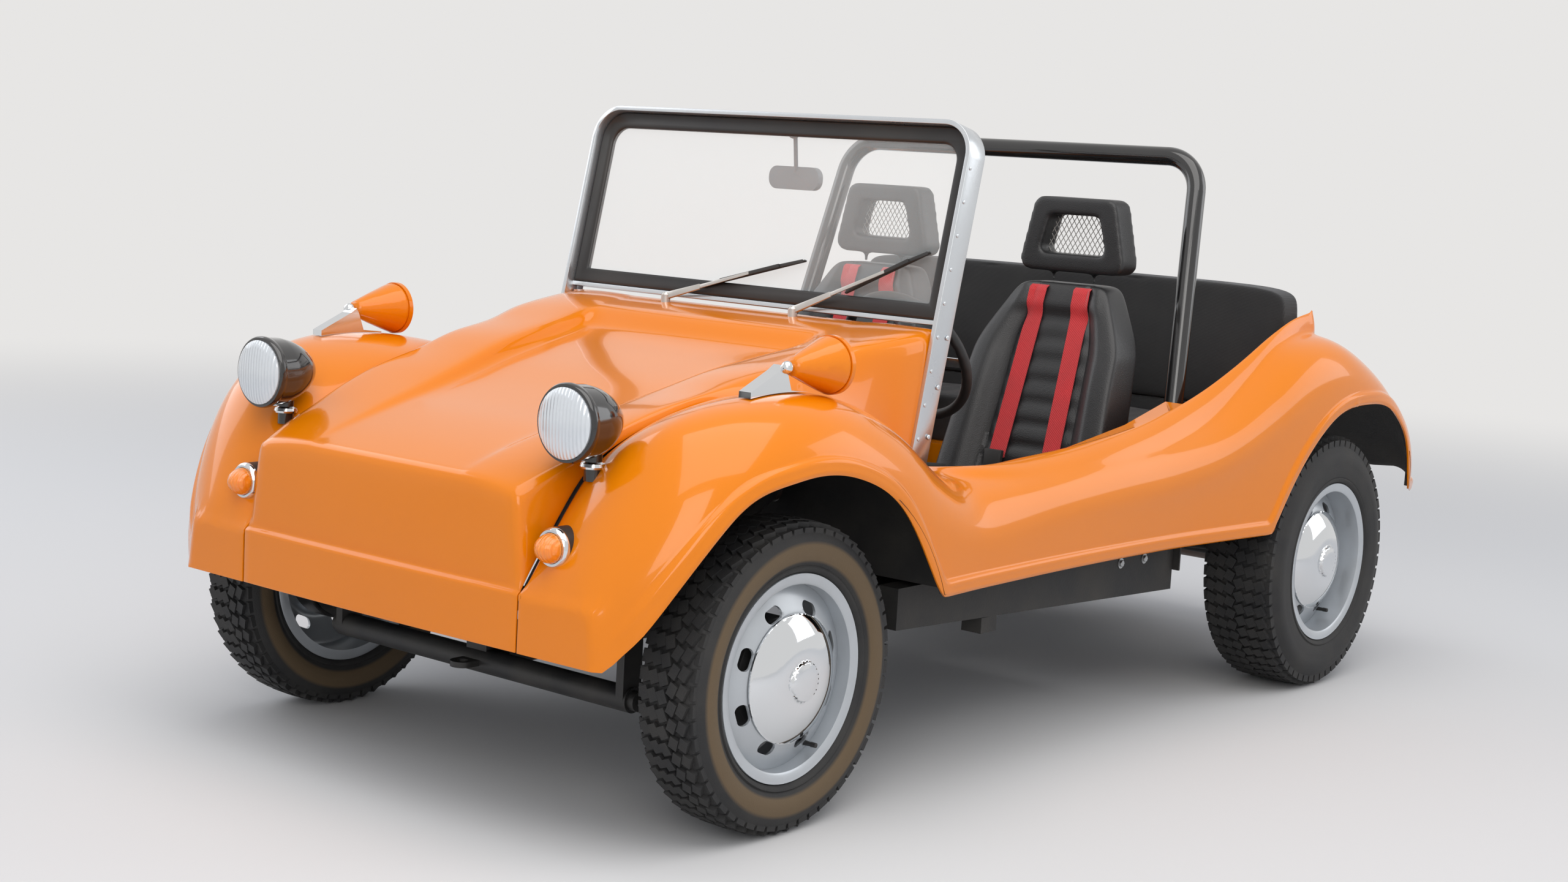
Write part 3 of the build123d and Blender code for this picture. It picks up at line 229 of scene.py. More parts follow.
def only(piece):
    bpy.ops.object.select_all(action="DESELECT")
    piece.select_set(True)
    bpy.context.view_layer.objects.active = piece


def join(pieces):
    bpy.ops.object.select_all(action="DESELECT")
    for piece in pieces:
        piece.select_set(True)
    bpy.context.view_layer.objects.active = pieces[0]
    bpy.ops.object.join()
    return pieces[0]


def apply(piece, kind, **settings):
    """Add a modifier with its settings and apply it."""
    only(piece)
    modifier = piece.modifiers.new(kind.lower(), kind)
    for key, value in settings.items():
        setattr(modifier, key, value)
    bpy.ops.object.modifier_apply(modifier=modifier.name)
    return piece


def roll_edges(piece, width, segments=2, angle=35):
    return apply(piece, "BEVEL", width=width, segments=segments, limit_method="ANGLE",
                 angle_limit=math.radians(angle))


def open_mesh():
    """Edit mode with the whole mesh selected."""
    bpy.ops.object.mode_set(mode="EDIT")
    bpy.ops.mesh.select_all(action="SELECT")


def close_mesh():
    bpy.ops.object.mode_set(mode="OBJECT")


def place_mesh(piece):
    """Place, turn and scale moved into the mesh."""
    only(piece)
    bpy.ops.object.transform_apply(location=True, rotation=True, scale=True)


def coat(piece, *materials):
    piece.data.materials.clear()
    for material in materials:
        piece.data.materials.append(material)


def cad_copy(node, bevel=0.0):
    """Copy of a CAD node's mesh with its triangles joined up, its hard edges rolled if asked."""
    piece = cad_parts[node].copy()
    piece.data = piece.data.copy()
    piece.parent = None
    bpy.context.scene.collection.objects.link(piece)
    only(piece)
    open_mesh()
    bpy.ops.mesh.remove_doubles(threshold=0.00001)
    if bevel:
        bpy.ops.mesh.dissolve_limited(angle_limit=math.radians(1))
    close_mesh()
    for key in list(piece.keys()):
        del piece[key]
    return roll_edges(piece, bevel) if bevel else piece


def fit(piece, name, material, slot, *nodes, body="chassis", angle=35):
    """Name a finished piece, coat it unless it is coated already, and let it ride in place of CAD nodes."""
    place_mesh(piece)
    bpy.ops.object.shade_smooth_by_angle(angle=math.radians(angle))
    piece.name = name
    if material:
        coat(piece, material)
    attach(piece, body)
    if nodes:
        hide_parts(*nodes)
    return piece


def dress(material, *nodes):
    """New finish on CAD nodes that stay."""
    for node in nodes:
        coat(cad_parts[node], material)


# heights of the nose's foot and the sill, and the station that lies at y = 0, in mm
nose_foot, sill, station_here = 368, 446, 1125
side_lines = (
    # station, seam or rim x and z, crown x and z, shoulder x and z, lower edge x and z, bulge of both arcs, in mm
    (-440, 413, 486, 500, 490, 592, 470, 604, 368, 3, 14), (-405, 411, 535, 520, 572, 650, 505, 664, 368, 6, 26),
    (-350, 410, 608, 540, 690, 700, 590, 714, 368, 10, 32), (-290, 413, 690, 565, 775, 738, 655, 750, 368, 12, 38),
    (-200, 424, 750, 590, 828, 768, 715, 776, 368, 12, 40), (-90, 440, 795, 606, 853, 788, 748, 794, 446, 10, 40),
    (40, 460, 825, 615, 860, 797, 750, 801, 446, 8, 42), (170, 530, 842, 622, 846, 797, 710, 800, 446, 3, 46),
    (300, 557, 812, 630, 795, 793, 645, 797, 446, 3, 48), (420, 560, 752, 640, 712, 787, 590, 790, 446, 2, 38),
    (520, 562, 680, 655, 664, 783, 560, 783, 446, 3, 26), (640, 650, 676, 692, 652, 780, 550, 778, 446, 5, 20),
    (850, 664, 684, 728, 650, 778, 545, 772, 446, 8, 18), (1100, 688, 708, 748, 664, 782, 545, 772, 446, 8, 20),
    (1350, 698, 745, 752, 690, 795, 560, 780, 446, 8, 26), (1560, 702, 797, 748, 735, 812, 600, 800, 446, 8, 34),
    (1750, 708, 866, 738, 822, 828, 670, 822, 446, 6, 42), (1900, 712, 930, 730, 900, 842, 740, 840, 446, 4, 46),
    (2020, 714, 972, 727, 925, 852, 775, 850, 446, 3, 46), (2118, 714, 988, 726, 926, 856, 785, 856, 446, 3, 44),
)
tail_lines = (
    # station, deck height, crown x and z, shoulder x and z, lower edge x and z, bulge
    (2118, 916, 726, 926, 856, 785, 856, 446, 44), (2240, 876, 738, 884, 858, 745, 857, 446, 42),
    (2360, 812, 747, 820, 856, 690, 854, 446, 40), (2470, 735, 752, 742, 848, 625, 844, 446, 36),
    (2560, 650, 752, 656, 834, 570, 828, 500, 28), (2620, 585, 750, 590, 818, 530, 812, 490, 18),
    (2655, 535, 746, 540, 800, 505, 796, 480, 10),
)
front_arch = ((-432, 360), (-350, 520), (-255, 654), (-95, 724), (68, 718), (232, 634), (382, 440))
rear_arch = ((1762, 440), (1838, 562), (1975, 700), (2190, 757), (2400, 706), (2500, 615), (2562, 480))


def eased(rows, spread):
    """Columns of a table as smooth lines: cubics through the rows, softened over a spread."""
    first, last = rows[0][0], rows[-1][0]
    count = int((last - first) / 5) + 1
    reach = int(3 * spread / 5)
    weights = [math.exp(-(5 * k / spread) ** 2 / 2) for k in range(-reach, reach + 1)]
    knots = [row[0] for row in rows]
    curves = []
    for values in list(zip(*rows))[1:]:
        steps = [(b - a) / (t - s) for a, b, s, t in zip(values, values[1:], knots, knots[1:])]
        slopes = [steps[0]]
        for before, after, s, t, u in zip(steps, steps[1:], knots, knots[1:], knots[2:]):
            slopes.append((before * (u - t) + after * (t - s)) / (u - s))
        slopes.append(steps[-1])
        line = []
        span = 0
        for index in range(count):
            s = first + (last - first) * index / (count - 1)
            while span < len(rows) - 2 and s > knots[span + 1]:
                span += 1
            h = knots[span + 1] - knots[span]
            t = (s - knots[span]) / h
            rise = values[span + 1] - values[span]
            a, b = slopes[span] * h - rise, rise - slopes[span + 1] * h
            line.append(values[span] + t * rise + t * (1 - t) * ((1 - t) * a + t * b))
        head = [2 * line[0] - line[k] for k in range(reach, 0, -1)]
        tail = [2 * line[-1] - line[-1 - k] for k in range(1, reach + 1)]
        longer = head + line + tail
        curves.append([sum(w * longer[index + k] for k, w in enumerate(weights)) / sum(weights)
                       for index in range(count)])

    def at(s):
        place = min(max((s - first) / (last - first), 0), 1) * (count - 1)
        index = min(int(place), count - 2)
        return [curve[index] + (curve[index + 1] - curve[index]) * (place - index) for curve in curves]

    return at


rim_at = eased([(row[0], row[1], row[2], row[9]) for row in side_lines], 22)
flank_at = eased([(row[0], *row[3:9], row[10]) for row in side_lines]
                 + [(row[0], *row[2:9]) for row in tail_lines[1:]], 25)
deck_at = eased([row[:2] for row in tail_lines], 25)
front_arch_at, rear_arch_at = eased(front_arch, 14), eased(rear_arch, 14)


def lower_edge(s):
    """Height of the skin's lower edge at a station: nose, arch, sill or tail."""
    edge = nose_foot if s < -380 else sill if s < 2500 else flank_at(s)[5]
    for arch, top_at in ((front_arch, front_arch_at), (rear_arch, rear_arch_at)):
        if arch[0][0] <= s <= arch[-1][0]:
            edge = max(edge if s > 0 else nose_foot, top_at(s)[0])
    return edge


def bow(p, q, bulge, count):
    """Points from p to q along a flat arc that bulges to the left."""
    length = math.dist(p, q)
    nx, nz = -(q[1] - p[1]) / length, (q[0] - p[0]) / length
    points = []
    for index in range(count + 1):
        t = index / count
        out = 4 * bulge * t * (1 - t)
        points.append((p[0] + (q[0] - p[0]) * t + nx * out, p[1] + (q[1] - p[1]) * t + nz * out))
    return points


def flank(s):
    """Points of one station from the crown down to the lower edge, closer together near the lip."""
    bx, bz, cx, cz, dx, dz, bulge = flank_at(s)
    line = bow((bx, bz), (cx, cz), bulge, 30) + bow((cx, cz), (dx, min(dz, cz - 20)), 0, 20)[1:]
    for _ in range(12):
        line = [line[0]] + [((a[0] + 2 * b[0] + c[0]) / 4, (a[1] + 2 * b[1] + c[1]) / 4)
                            for a, b, c in zip(line, line[1:], line[2:])] + [line[-1]]
    edge = lower_edge(s)
    cut = [line[0]]
    for before, after in zip(line, line[1:]):
        if after[1] < edge:
            share = (before[1] - edge) / (before[1] - after[1])
            cut.append((before[0] + (after[0] - before[0]) * share, edge))
            break
        cut.append(after)
    reach = [0.0]
    for before, after in zip(cut, cut[1:]):
        reach.append(reach[-1] + math.dist(before, after))
    slope = abs(lower_edge(s + 4) - lower_edge(s - 4)) / 8
    stretch = min(math.hypot(1, slope), 2.4)
    near_lip = [min(back * stretch, reach[-1] * 0.6) for back in (44, 37, 31, 28, 25, 22, 19, 16, 12, 8, 4, 0)]
    stops = [(reach[-1] - near_lip[0]) * index / 24 for index in range(24)]
    stops += [reach[-1] - back for back in near_lip]
    points = []
    span = 0
    for stop in stops:
        while span < len(reach) - 2 and stop > reach[span + 1]:
            span += 1
        share = (stop - reach[span]) / max(reach[span + 1] - reach[span], 1e-6)
        points.append(tuple(a + (b - a) * share for a, b in zip(cut[span], cut[span + 1])))
    return points


def lay(rows):
    """Sheet of quads through rows of (x, station, height) points in mm."""
    sheet = fresh(bpy.ops.mesh.primitive_grid_add, x_subdivisions=len(rows[0]) - 1,
                  y_subdivisions=len(rows) - 1)
    for vertex, (x, s, z) in zip(sheet.data.vertices, [point for row in rows for point in row]):
        vertex.co = (x * 0.001, (s - station_here) * 0.001, z * 0.001)
    return sheet


def settle(sheets, rounds):
    """Sheets joined edge to edge and mirrored, then eased inside their open edges."""
    skin = join(sheets)
    open_mesh()
    bpy.ops.mesh.remove_doubles(threshold=0.0004)
    close_mesh()
    apply(skin, "MIRROR", merge_threshold=0.001)
    bpy.ops.object.mode_set(mode="EDIT")
    bpy.ops.mesh.select_mode(type="VERT")
    bpy.ops.mesh.select_all(action="DESELECT")
    bpy.ops.mesh.select_non_manifold()
    bpy.ops.mesh.select_all(action="INVERT")
    bpy.ops.mesh.vertices_smooth(factor=0.5, repeat=rounds)
    close_mesh()
    return skin


def push_band(skin):
    """Shallow bumper band moulded across the foot of the nose, with a soft ledge."""
    for vertex in skin.data.vertices:
        proud = 0.0125 - 0.0065 * (vertex.co.x / 0.604) ** 2
        vertex.co.y -= proud * smooth(0.489, 0.478, vertex.co.z) * smooth(-1.540, -1.560, vertex.co.y)


stations = [-440 + 10 * step for step in range(256)] + [2118]
side_rows = []
for s in stations:
    ax, az, bulge = rim_at(s)
    inset = 1.2 + 4 * smooth(540, 640, s)
    inner = (ax - inset, az - 18 - 18 * smooth(540, 640, s))
    rolled = [inner, (ax - inset, az - 7), (ax - inset * 0.35, az - 2)]
    bx, bz = flank_at(s)[:2]
    section = rolled + bow((ax, az), (bx, bz), bulge, 10) + flank(s)[1:]
    side_rows.append([(x, s, z) for x, z in section])
tail_rows = []
middle_rows = []
for s in [2118 + 10 * step for step in range(54)] + [2655]:
    bx, bz = flank_at(s)[:2]
    deck = deck_at(s)[0]
    edge = bow((460, deck), (bx - 60, deck), 0, 8) + bow((bx - 60, deck), (bx, bz), 0, 5)[1:]
    tail_rows.append([(x, s, z) for x, z in edge + flank(s)[1:]])
    if s <= 2420:
        middle_rows.append([(46 * step, s, deck) for step in range(11)])
first_row = side_rows[0][3:]
corner = next(index for index, point in enumerate(first_row) if point[2] < 468)
x_in, x_corner, x_out = first_row[0][0], first_row[corner][0], first_row[-1][0]
front_rows_up = []
for below in range(len(first_row) - 1 - corner, -1, -1):
    side_point = first_row[corner + below]
    share = (first_row[corner][2] - side_point[2]) / (first_row[corner][2] - nose_foot)
    row = []
    for x, s, z in first_row[:corner]:
        foot = x_in + (x - x_in) * (x_out - x_in) / (x_corner - x_in)
        row.append((x + (foot - x) * share, s, z + (nose_foot - z) * share))
    front_rows_up.append(row + [side_point])
skin = settle([lay(rows) for rows in (side_rows, tail_rows, middle_rows, front_rows_up)], 8)
edge_line = [(s, lower_edge(s)) for s in range(-440, 2656, 5)]
for vertex in skin.data.vertices:
    s, z = vertex.co.y * 1000 + station_here, vertex.co.z * 1000
    if abs(vertex.co.x) > 0.6 and s > -436 and z < 800:
        here = int((s + 440) / 5)
        gap = min(math.dist(point, (s, z)) for point in edge_line[max(here - 10, 0):here + 11])
        vertex.co += vertex.normal * 0.009 * smooth(29, 19, gap) * smooth(-430, -390, s)
push_band(skin)
orange_gelcoat = finish("orange_gelcoat", (0.80, 0.215, 0.001), 0.16, dust=(0.70, 0.18, 0.001), dust_amount=0.35,
                        patch=2.0, spread=0.04, bump=0, Coat_Weight=0.55, Coat_Roughness=0.03,
                        Specular_IOR_Level=0.2)
underseal = finish("underseal", (0.012, 0.012, 0.013), 0.55, dust=(0.09, 0.08, 0.065), dust_amount=0.35, patch=7,
                   spread=0.2, grain=180, bump=0.25)

# Cockpit liner, wheel wells and bulkheads of the same moulding: what the CAD tub holds inside its skin,
# orange where it faces the cockpit and black underseal where it faces the road and the wheels.
liner = cad_copy("body_tub")
outside = BVHTree.FromPolygons([vertex.co for vertex in skin.data.vertices],
                               [face.vertices for face in skin.data.polygons])


def at_skin(place):
    return outside.find_nearest(place, 0.012)[0] is not None


near_skin = [at_skin(vertex.co) for vertex in liner.data.vertices]
for face in liner.data.polygons:
    corners = [liner.data.vertices[index].co for index in face.vertices]
    middle = face.center
    places = [(a + b) / 2 for a, b in zip(corners, corners[1:] + corners[:1])] + [middle]
    in_skin = all(near_skin[index] for index in face.vertices) and all(at_skin(place) for place in places)
    face.select = in_skin or middle.y < -1.49 and abs(middle.x) > 0.6 and middle.z < 0.48
for part in (*liner.data.edges, *liner.data.vertices):
    part.select = False
only(liner)
bpy.ops.object.mode_set(mode="EDIT")
bpy.ops.mesh.select_mode(type="FACE")
bpy.ops.mesh.delete(type="FACE")
close_mesh()
for vertex in liner.data.vertices:
    x, s, z = abs(vertex.co.x) * 1000, vertex.co.y * 1000 + station_here, vertex.co.z * 1000
    rim_x, rim_z = rim_at(s)[:2]
    if 540 < s < 2118 and rim_x - 125 < x < rim_x + 12 and z > rim_z - 16:
        vertex.co.z -= 0.007 + 0.019 * smooth(560, 640, s)
    if 410 < s < 430 and x < 360 and z > 868:
        vertex.co.z = 0.868
coat(liner, orange_gelcoat, underseal)
for face in liner.data.polygons:
    place, way = face.center, face.normal
    aside = abs(place.x)
    outward = way.x * place.x > 0.2 * aside or way.z < -0.5 or (abs(way.y) > 0.8 and aside > 0.594)
    face.material_index = int(outward and way.z < 0.3 or place.y < -0.7 or place.z < 0.4)
fit(liner, "tub_liner", None, "body_paint", "body_tub", angle=8)


def mould(sheet, name, node):
    """Sheet given its thickness, gelcoat outside and underseal inside, its edges rolled over."""
    coat(sheet, orange_gelcoat, underseal)
    apply(sheet, "SOLIDIFY", thickness=0.005, offset=-1, material_offset=1)
    return fit(roll_edges(sheet, 0.0016, 2, 60), name, None, "body_paint", node, angle=50)


mould(skin, "tub_skin", "body_tub")

# Hood, nose and cowl: one separate moulding between the fenders. Its middle is sunk between two ridges that
# grow towards the cowl, and a black rubber strip fills the seam on each side.
hood_lines = (
    # station, ridge x and z, depth of the sunk middle, edge x and z
    (-440, 240, 682, 0, 384, 664), (-405, 240, 696, 2, 390, 684), (-350, 240, 716, 4, 398, 710),
    (-290, 242, 736, 7, 404, 734), (-200, 250, 764, 13, 411, 774), (-90, 268, 792, 20, 423, 812),
    (40, 290, 828, 29, 441, 842), (170, 312, 866, 36, 462, 878), (300, 330, 893, 36, 488, 900),
    (420, 345, 915, 33, 524, 930), (520, 350, 940, 30, 545, 944), (600, 350, 954, 30, 554, 954),
    (700, 350, 962, 30, 557, 962),
)
hood_at = eased(hood_lines, 18)


def hood_section(s):
    """Points of one station from the middle out to the ridge, the edge and down to the seam."""
    ridge_x, ridge_z, depth, edge_x, edge_z = hood_at(s)
    seam_x, seam_z = rim_at(min(s, 520))[:2]
    depth *= 1 - smooth(462, 506, s)
    foot = ridge_x - 30
    points = [(foot * step / 10, ridge_z - depth) for step in range(11)]
    points += [(foot + 30 * step / 6, ridge_z - depth * (1 - smooth(0, 6, step))) for step in range(1, 7)]
    points += bow((ridge_x, ridge_z), (edge_x, edge_z), 3, 9)[1:]
    return points + bow((edge_x, edge_z), (seam_x - 5, seam_z), 2, 12)[1:]


columns = len(hood_section(0))
ends = [575 + (z - 672) * 0.2541 for x, z in hood_section(640)]
hood_rows = []
for step in range(111):
    row = []
    for column in range(columns):
        s = -440 + (ends[column] + 440) * step / 110
        x, z = hood_section(s)[column]
        row.append((x, s, z))
    hood_rows.append(row)
top = hood_rows[0][:columns - 12]
down = hood_rows[0][columns - 13:]
down += [(408, -440, 486 - (486 - nose_foot) * (step / 24) ** 1.5) for step in range(1, 25)]
nose_rows = []
for x_side, s, z_side in down[::-1]:
    share = (z_side - nose_foot) / (top[-1][2] - nose_foot)
    row = []
    for x, s, z in top:
        across = x * x_side / top[-1][0]
        bulge = 2 * (1 - (across / 408) ** 2) * smooth(0, 0.3, 1 - share)
        row.append((across, s - bulge, nose_foot + (z - nose_foot) * share))
    nose_rows.append(row)
hood = settle([lay(hood_rows), lay(nose_rows)], 4)
push_band(hood)
mould(hood, "hood_and_nose", "front_panel")
black_rubber = finish("black_rubber", (0.011, 0.011, 0.012), 0.42, grain=250, bump=0.06)
rubber_rows = [[(407, -434, nose_foot + 11 * step), (414, -434, nose_foot + 11 * step)] for step in range(11)]
for s in range(-430, 520, 10):
    ax, az = rim_at(s)[:2]
    rubber_rows.append([(ax - 7, s, az - 8), (ax + 1, s, az - 8)])
strip = apply(settle([lay(rubber_rows)], 0), "SOLIDIFY", thickness=0.004, offset=-1)
fit(strip, "hood_seam_rubber", black_rubber, "seal_rubber")

# Chassis: pressed steel pan, beam, arms, axle and box sections under black underseal and chassis paint,
# dulled by road dust, with two hexagon bolts where the body is held to each side rail.
def stud(place, way, radius, height, sides=6):
    """Head that stands on a face: with six sides a bolt on its washer, with more a rivet's dome."""
    way = Vector(way).normalized()
    turn = Vector((0, 0, 1)).rotation_difference(way).to_euler()
    head = fresh(bpy.ops.mesh.primitive_cylinder_add, vertices=sides, radius=radius, depth=height, rotation=turn,
                 location=Vector(place) + way * height / 2)
    if sides > 6:
        return roll_edges(head, height * 0.75, 3)
    roll_edges(head, radius * 0.12, 1)
    return join([head, fresh(bpy.ops.mesh.primitive_cylinder_add, vertices=20, radius=radius * 1.5,
                             depth=height * 0.3, rotation=turn, location=Vector(place) + way * height * 0.15)])


chassis_paint = finish("chassis_paint", (0.016, 0.016, 0.017), 0.38, dust=(0.10, 0.09, 0.075), dust_amount=0.3,
                       patch=12, spread=0.2, grain=250, bump=0.12)
zinc = finish("zinc_bolts", (0.45, 0.46, 0.47), 0.32, dust=(0.2, 0.18, 0.15), dust_amount=0.4, patch=60,
              Metallic=0.9)
dress(underseal, "floor_pan")
dress(chassis_paint, "front_axle_beam", "knuckle_left", "knuckle_right", "track_rod", "rear_axle", "seat_frames",
      "steering_column", "fuel_tank")
rail_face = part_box("floor_pan")[1].x
bolts = [stud((side * rail_face, y, 0.395), (side, 0, 0), 0.0085, 0.007)
         for side in (1, -1) for y in (0.155, 0.265)]
fit(join(bolts), "body_bolts", zinc, "chassis_black")


# Tyres: black rubber on a round carcass, with rows of leaning blocks all round and lugs on the shoulders.
# The front pair are browned in a band on the bulge of the sidewall.
def spun(profile, place, way=(1, 0, 0), steps=32):
    """Solid spun about a line through place, from a closed loop of (along, radius) points."""
    ring = fresh(bpy.ops.mesh.primitive_circle_add, vertices=len(profile), fill_type="NOTHING")
    for vertex, (along, radius) in zip(ring.data.vertices, profile):
        vertex.co = (radius, 0, along)
    open_mesh()
    bpy.ops.mesh.spin(steps=steps, angle=2 * math.pi, center=(0, 0, 0), axis=(0, 0, 1))
    bpy.ops.mesh.select_all(action="SELECT")
    bpy.ops.mesh.remove_doubles(threshold=0.00002)
    bpy.ops.mesh.dissolve_degenerate(threshold=0.00001)
    bpy.ops.mesh.delete_loose()
    bpy.ops.mesh.select_all(action="SELECT")
    bpy.ops.mesh.normals_make_consistent(inside=False)
    close_mesh()
    ring.rotation_euler = Vector((0, 0, 1)).rotation_difference(Vector(way)).to_euler()
    ring.location = place
    return ring


def spin_copies(count):
    """What is being edited, copied round the X axis."""
    open_mesh()
    bpy.ops.mesh.spin(steps=count, dupli=True, angle=2 * math.pi, center=(0, 0, 0), axis=(1, 0, 0))
    bpy.ops.mesh.select_all(action="SELECT")
    bpy.ops.mesh.remove_doubles(threshold=0.00002)
    close_mesh()


def tread(centre, radius, crown, rows, pitches):
    """Blocks of one pitch, spun round as copies. A lug row stands flat on the shoulder."""
    step = 2 * math.pi / pitches
    blocks = []
    for index, (across, width, is_lug) in enumerate(rows):
        drop = 0.004 * (across / crown) ** 2
        block = fresh(bpy.ops.mesh.primitive_cube_add, size=1)
        block.scale = (width, radius * step * 0.74, 0.022 if is_lug else 0.012)
        block.rotation_euler = (0, 0, 0 if is_lug else 0.42 * (-1) ** index)
        place_mesh(block)
        block.location = (across, 0, radius - drop - (0.0185 if is_lug else 0.006))
        place_mesh(block)
        block.rotation_euler = (step * 0.5 * (index % 2), 0, 0)
        place_mesh(block)
        blocks.append(block)
    band = join(blocks)
    spin_copies(pitches)
    band.location = centre
    return band


def tyre_rubber(name, axle_y, axle_z, browning):
    """Rubber whose browning follows the distance from the axle."""
    material = finish(name, (0.014, 0.014, 0.015), 0.62, dust=(0.085, 0.078, 0.066), dust_amount=0.22, patch=14,
                      spread=0.15, grain=420, bump=0.3)
    tree = material.node_tree
    axes = put(tree, "ShaderNodeSeparateXYZ", ((0, own_place(tree)),))
    y = put(tree, "ShaderNodeMath", ((0, axes.outputs["Y"]), (1, axle_y)), operation="SUBTRACT")
    z = put(tree, "ShaderNodeMath", ((0, axes.outputs["Z"]), (1, axle_z)), operation="SUBTRACT")
    flat = put(tree, "ShaderNodeCombineXYZ", ((0, y.outputs[0]), (1, z.outputs[0])))
    reach = put(tree, "ShaderNodeVectorMath", ((0, flat.outputs[0]),), operation="LENGTH")
    span = put(tree, "ShaderNodeMapRange", (("Value", reach.outputs["Value"]), ("From Min", 0.20),
                                            ("From Max", 0.30)))
    ramp = put(tree, "ShaderNodeValToRGB", ((0, span.outputs[0]),))
    stops = ramp.color_ramp.elements
    stops[0].position, stops[0].color = 0.30, (0, 0, 0, 1)
    stops[1].position, stops[1].color = 0.36, (browning, browning, browning, 1)
    for at, level in ((0.66, browning), (0.74, 0)):
        stop = stops.new(at)
        stop.color = (level, level, level, 1)
    tint = put(tree, "ShaderNodeMix", ((0, ramp.outputs[0]), (6, tree.nodes["look"].outputs["Colour"]),
                                       (7, (0.125, 0.082, 0.040, 1))), data_type="RGBA")
    tree.links.new(tint.outputs[2], tree.nodes["Principled BSDF"].inputs["Base Color"])
    return material


def both_sides(rows):
    """Rows of a tread that lie off its middle, each with its twin on the other side."""
    return [(side * across, width, is_lug) for across, width, is_lug in rows for side in (1, -1)]


left_right = ((1, "left"), (-1, "right"))
front_rows = [(0.0, 0.021, 0)] + both_sides([(0.0235, 0.020, 0), (0.0465, 0.020, 0), (0.0625, 0.012, 1)])
rear_rows = both_sides([(0.0135, 0.024, 0), (0.041, 0.025, 0), (0.068, 0.024, 0), (0.086, 0.015, 1)])
for end, x, y, radius, width, half_rim, rows, pitches, browning in (
    ("front", 0.6565, -1.125, 0.311, 0.157, 0.062, front_rows, 56, 0.9),
    ("rear", 0.733, 0.975, 0.334, 0.214, 0.098, rear_rows, 60, 0.0),
):
    rubber = tyre_rubber(end + "_tyre_rubber", y, radius, browning)
    bead = half_rim - 0.0053
    bulge = (radius + 0.208) / 2
    wall = width / 2
    crown = width * 0.36
    half_loop = [(bead, 0.1911), (bead, 0.2088), (bead + 0.005, 0.2112), (bead + 0.0105, 0.2165),
                 (bead + 0.0115, 0.2205), (bead + 0.0085, 0.2235), (bead + 0.0105, 0.2265),
                 (wall - 0.004, bulge - 0.021), (wall - 0.001, bulge - 0.008), (wall - 0.001, bulge + 0.006),
                 (wall - 0.004, bulge + 0.019), (crown + 0.0125, radius - 0.0235),
                 (crown + 0.006, radius - 0.0145), (crown - 0.002, radius - 0.0115),
                 (crown * 0.5, radius - 0.0092), (0, radius - 0.0085)]
    loop = half_loop + [(-across, r) for across, r in half_loop[-2::-1]]
    for side, name in left_right:
        centre = (side * x, y, radius)
        where = f"{end}_{name}"
        body, node = "wheel_" + where, "tyre_" + where
        fit(spun(loop, centre, steps=96), "tyre_carcass_" + where, rubber, "tyre_rubber", node, body=body)
        blocks = tread(centre, radius, crown, rows, pitches)
        fit(blocks, "tyre_tread_" + where, rubber, "tyre_rubber", node, body=body, angle=20)

# Wheels: pressed steel rims in silver paint with oblong slots, a short black valve stem through the disc,
# and domed chrome caps with a plain round boss.
wheel_silver = finish("wheel_silver", (0.50, 0.53, 0.56), 0.30, dust=(0.33, 0.33, 0.33), dust_amount=0.3,
                      patch=9, spread=0.10, grain=500, bump=0.03, Metallic=0.5, Coat_Weight=0.4,
                      Coat_Roughness=0.12)
cap_chrome = finish("cap_chrome", (0.75, 0.77, 0.79), 0.035, dust=(0.5, 0.5, 0.5), dust_amount=0.06, patch=6,
                    spread=0.03, bump=0, Metallic=1.0)
stem_profile = [(0, 0), (0, 0.0065), (0.012, 0.0055), (0.026, 0.0045), (0.028, 0.0055), (0.040, 0.005),
                (0.042, 0)]


def rounded(loop, rounds=2):
    """Closed profile with its corners cut back, but not where it meets the axle."""
    for _ in range(rounds):
        cut = []
        for a, b in zip(loop, loop[1:] + loop[:1]):
            cut += [a if a[1] < 0.016 else (a[0] * 0.75 + b[0] * 0.25, a[1] * 0.75 + b[1] * 0.25),
                    b if b[1] < 0.016 else (a[0] * 0.25 + b[0] * 0.75, a[1] * 0.25 + b[1] * 0.75)]
        loop = [point for point, after in zip(cut, cut[1:] + cut[:1]) if math.dist(point, after) > 1e-7]
    return loop


def oblong_holes(centre, count, ring, length, height, depth):
    """Cutter for a ring of rounded slots through a disc that faces along X."""
    slot = fresh(bpy.ops.mesh.primitive_cylinder_add, vertices=32, radius=height / 2, depth=depth,
                 rotation=(0, math.radians(90), 0))
    place_mesh(slot)
    for vertex in slot.data.vertices:
        if abs(vertex.co.y) > 1e-5:
            vertex.co.y += math.copysign((length - height) / 2, vertex.co.y)
        vertex.co.z += ring
    only(slot)
    spin_copies(count)
    slot.rotation_euler = (math.pi / count, 0, 0)
    slot.location = centre
    place_mesh(slot)
    return slot


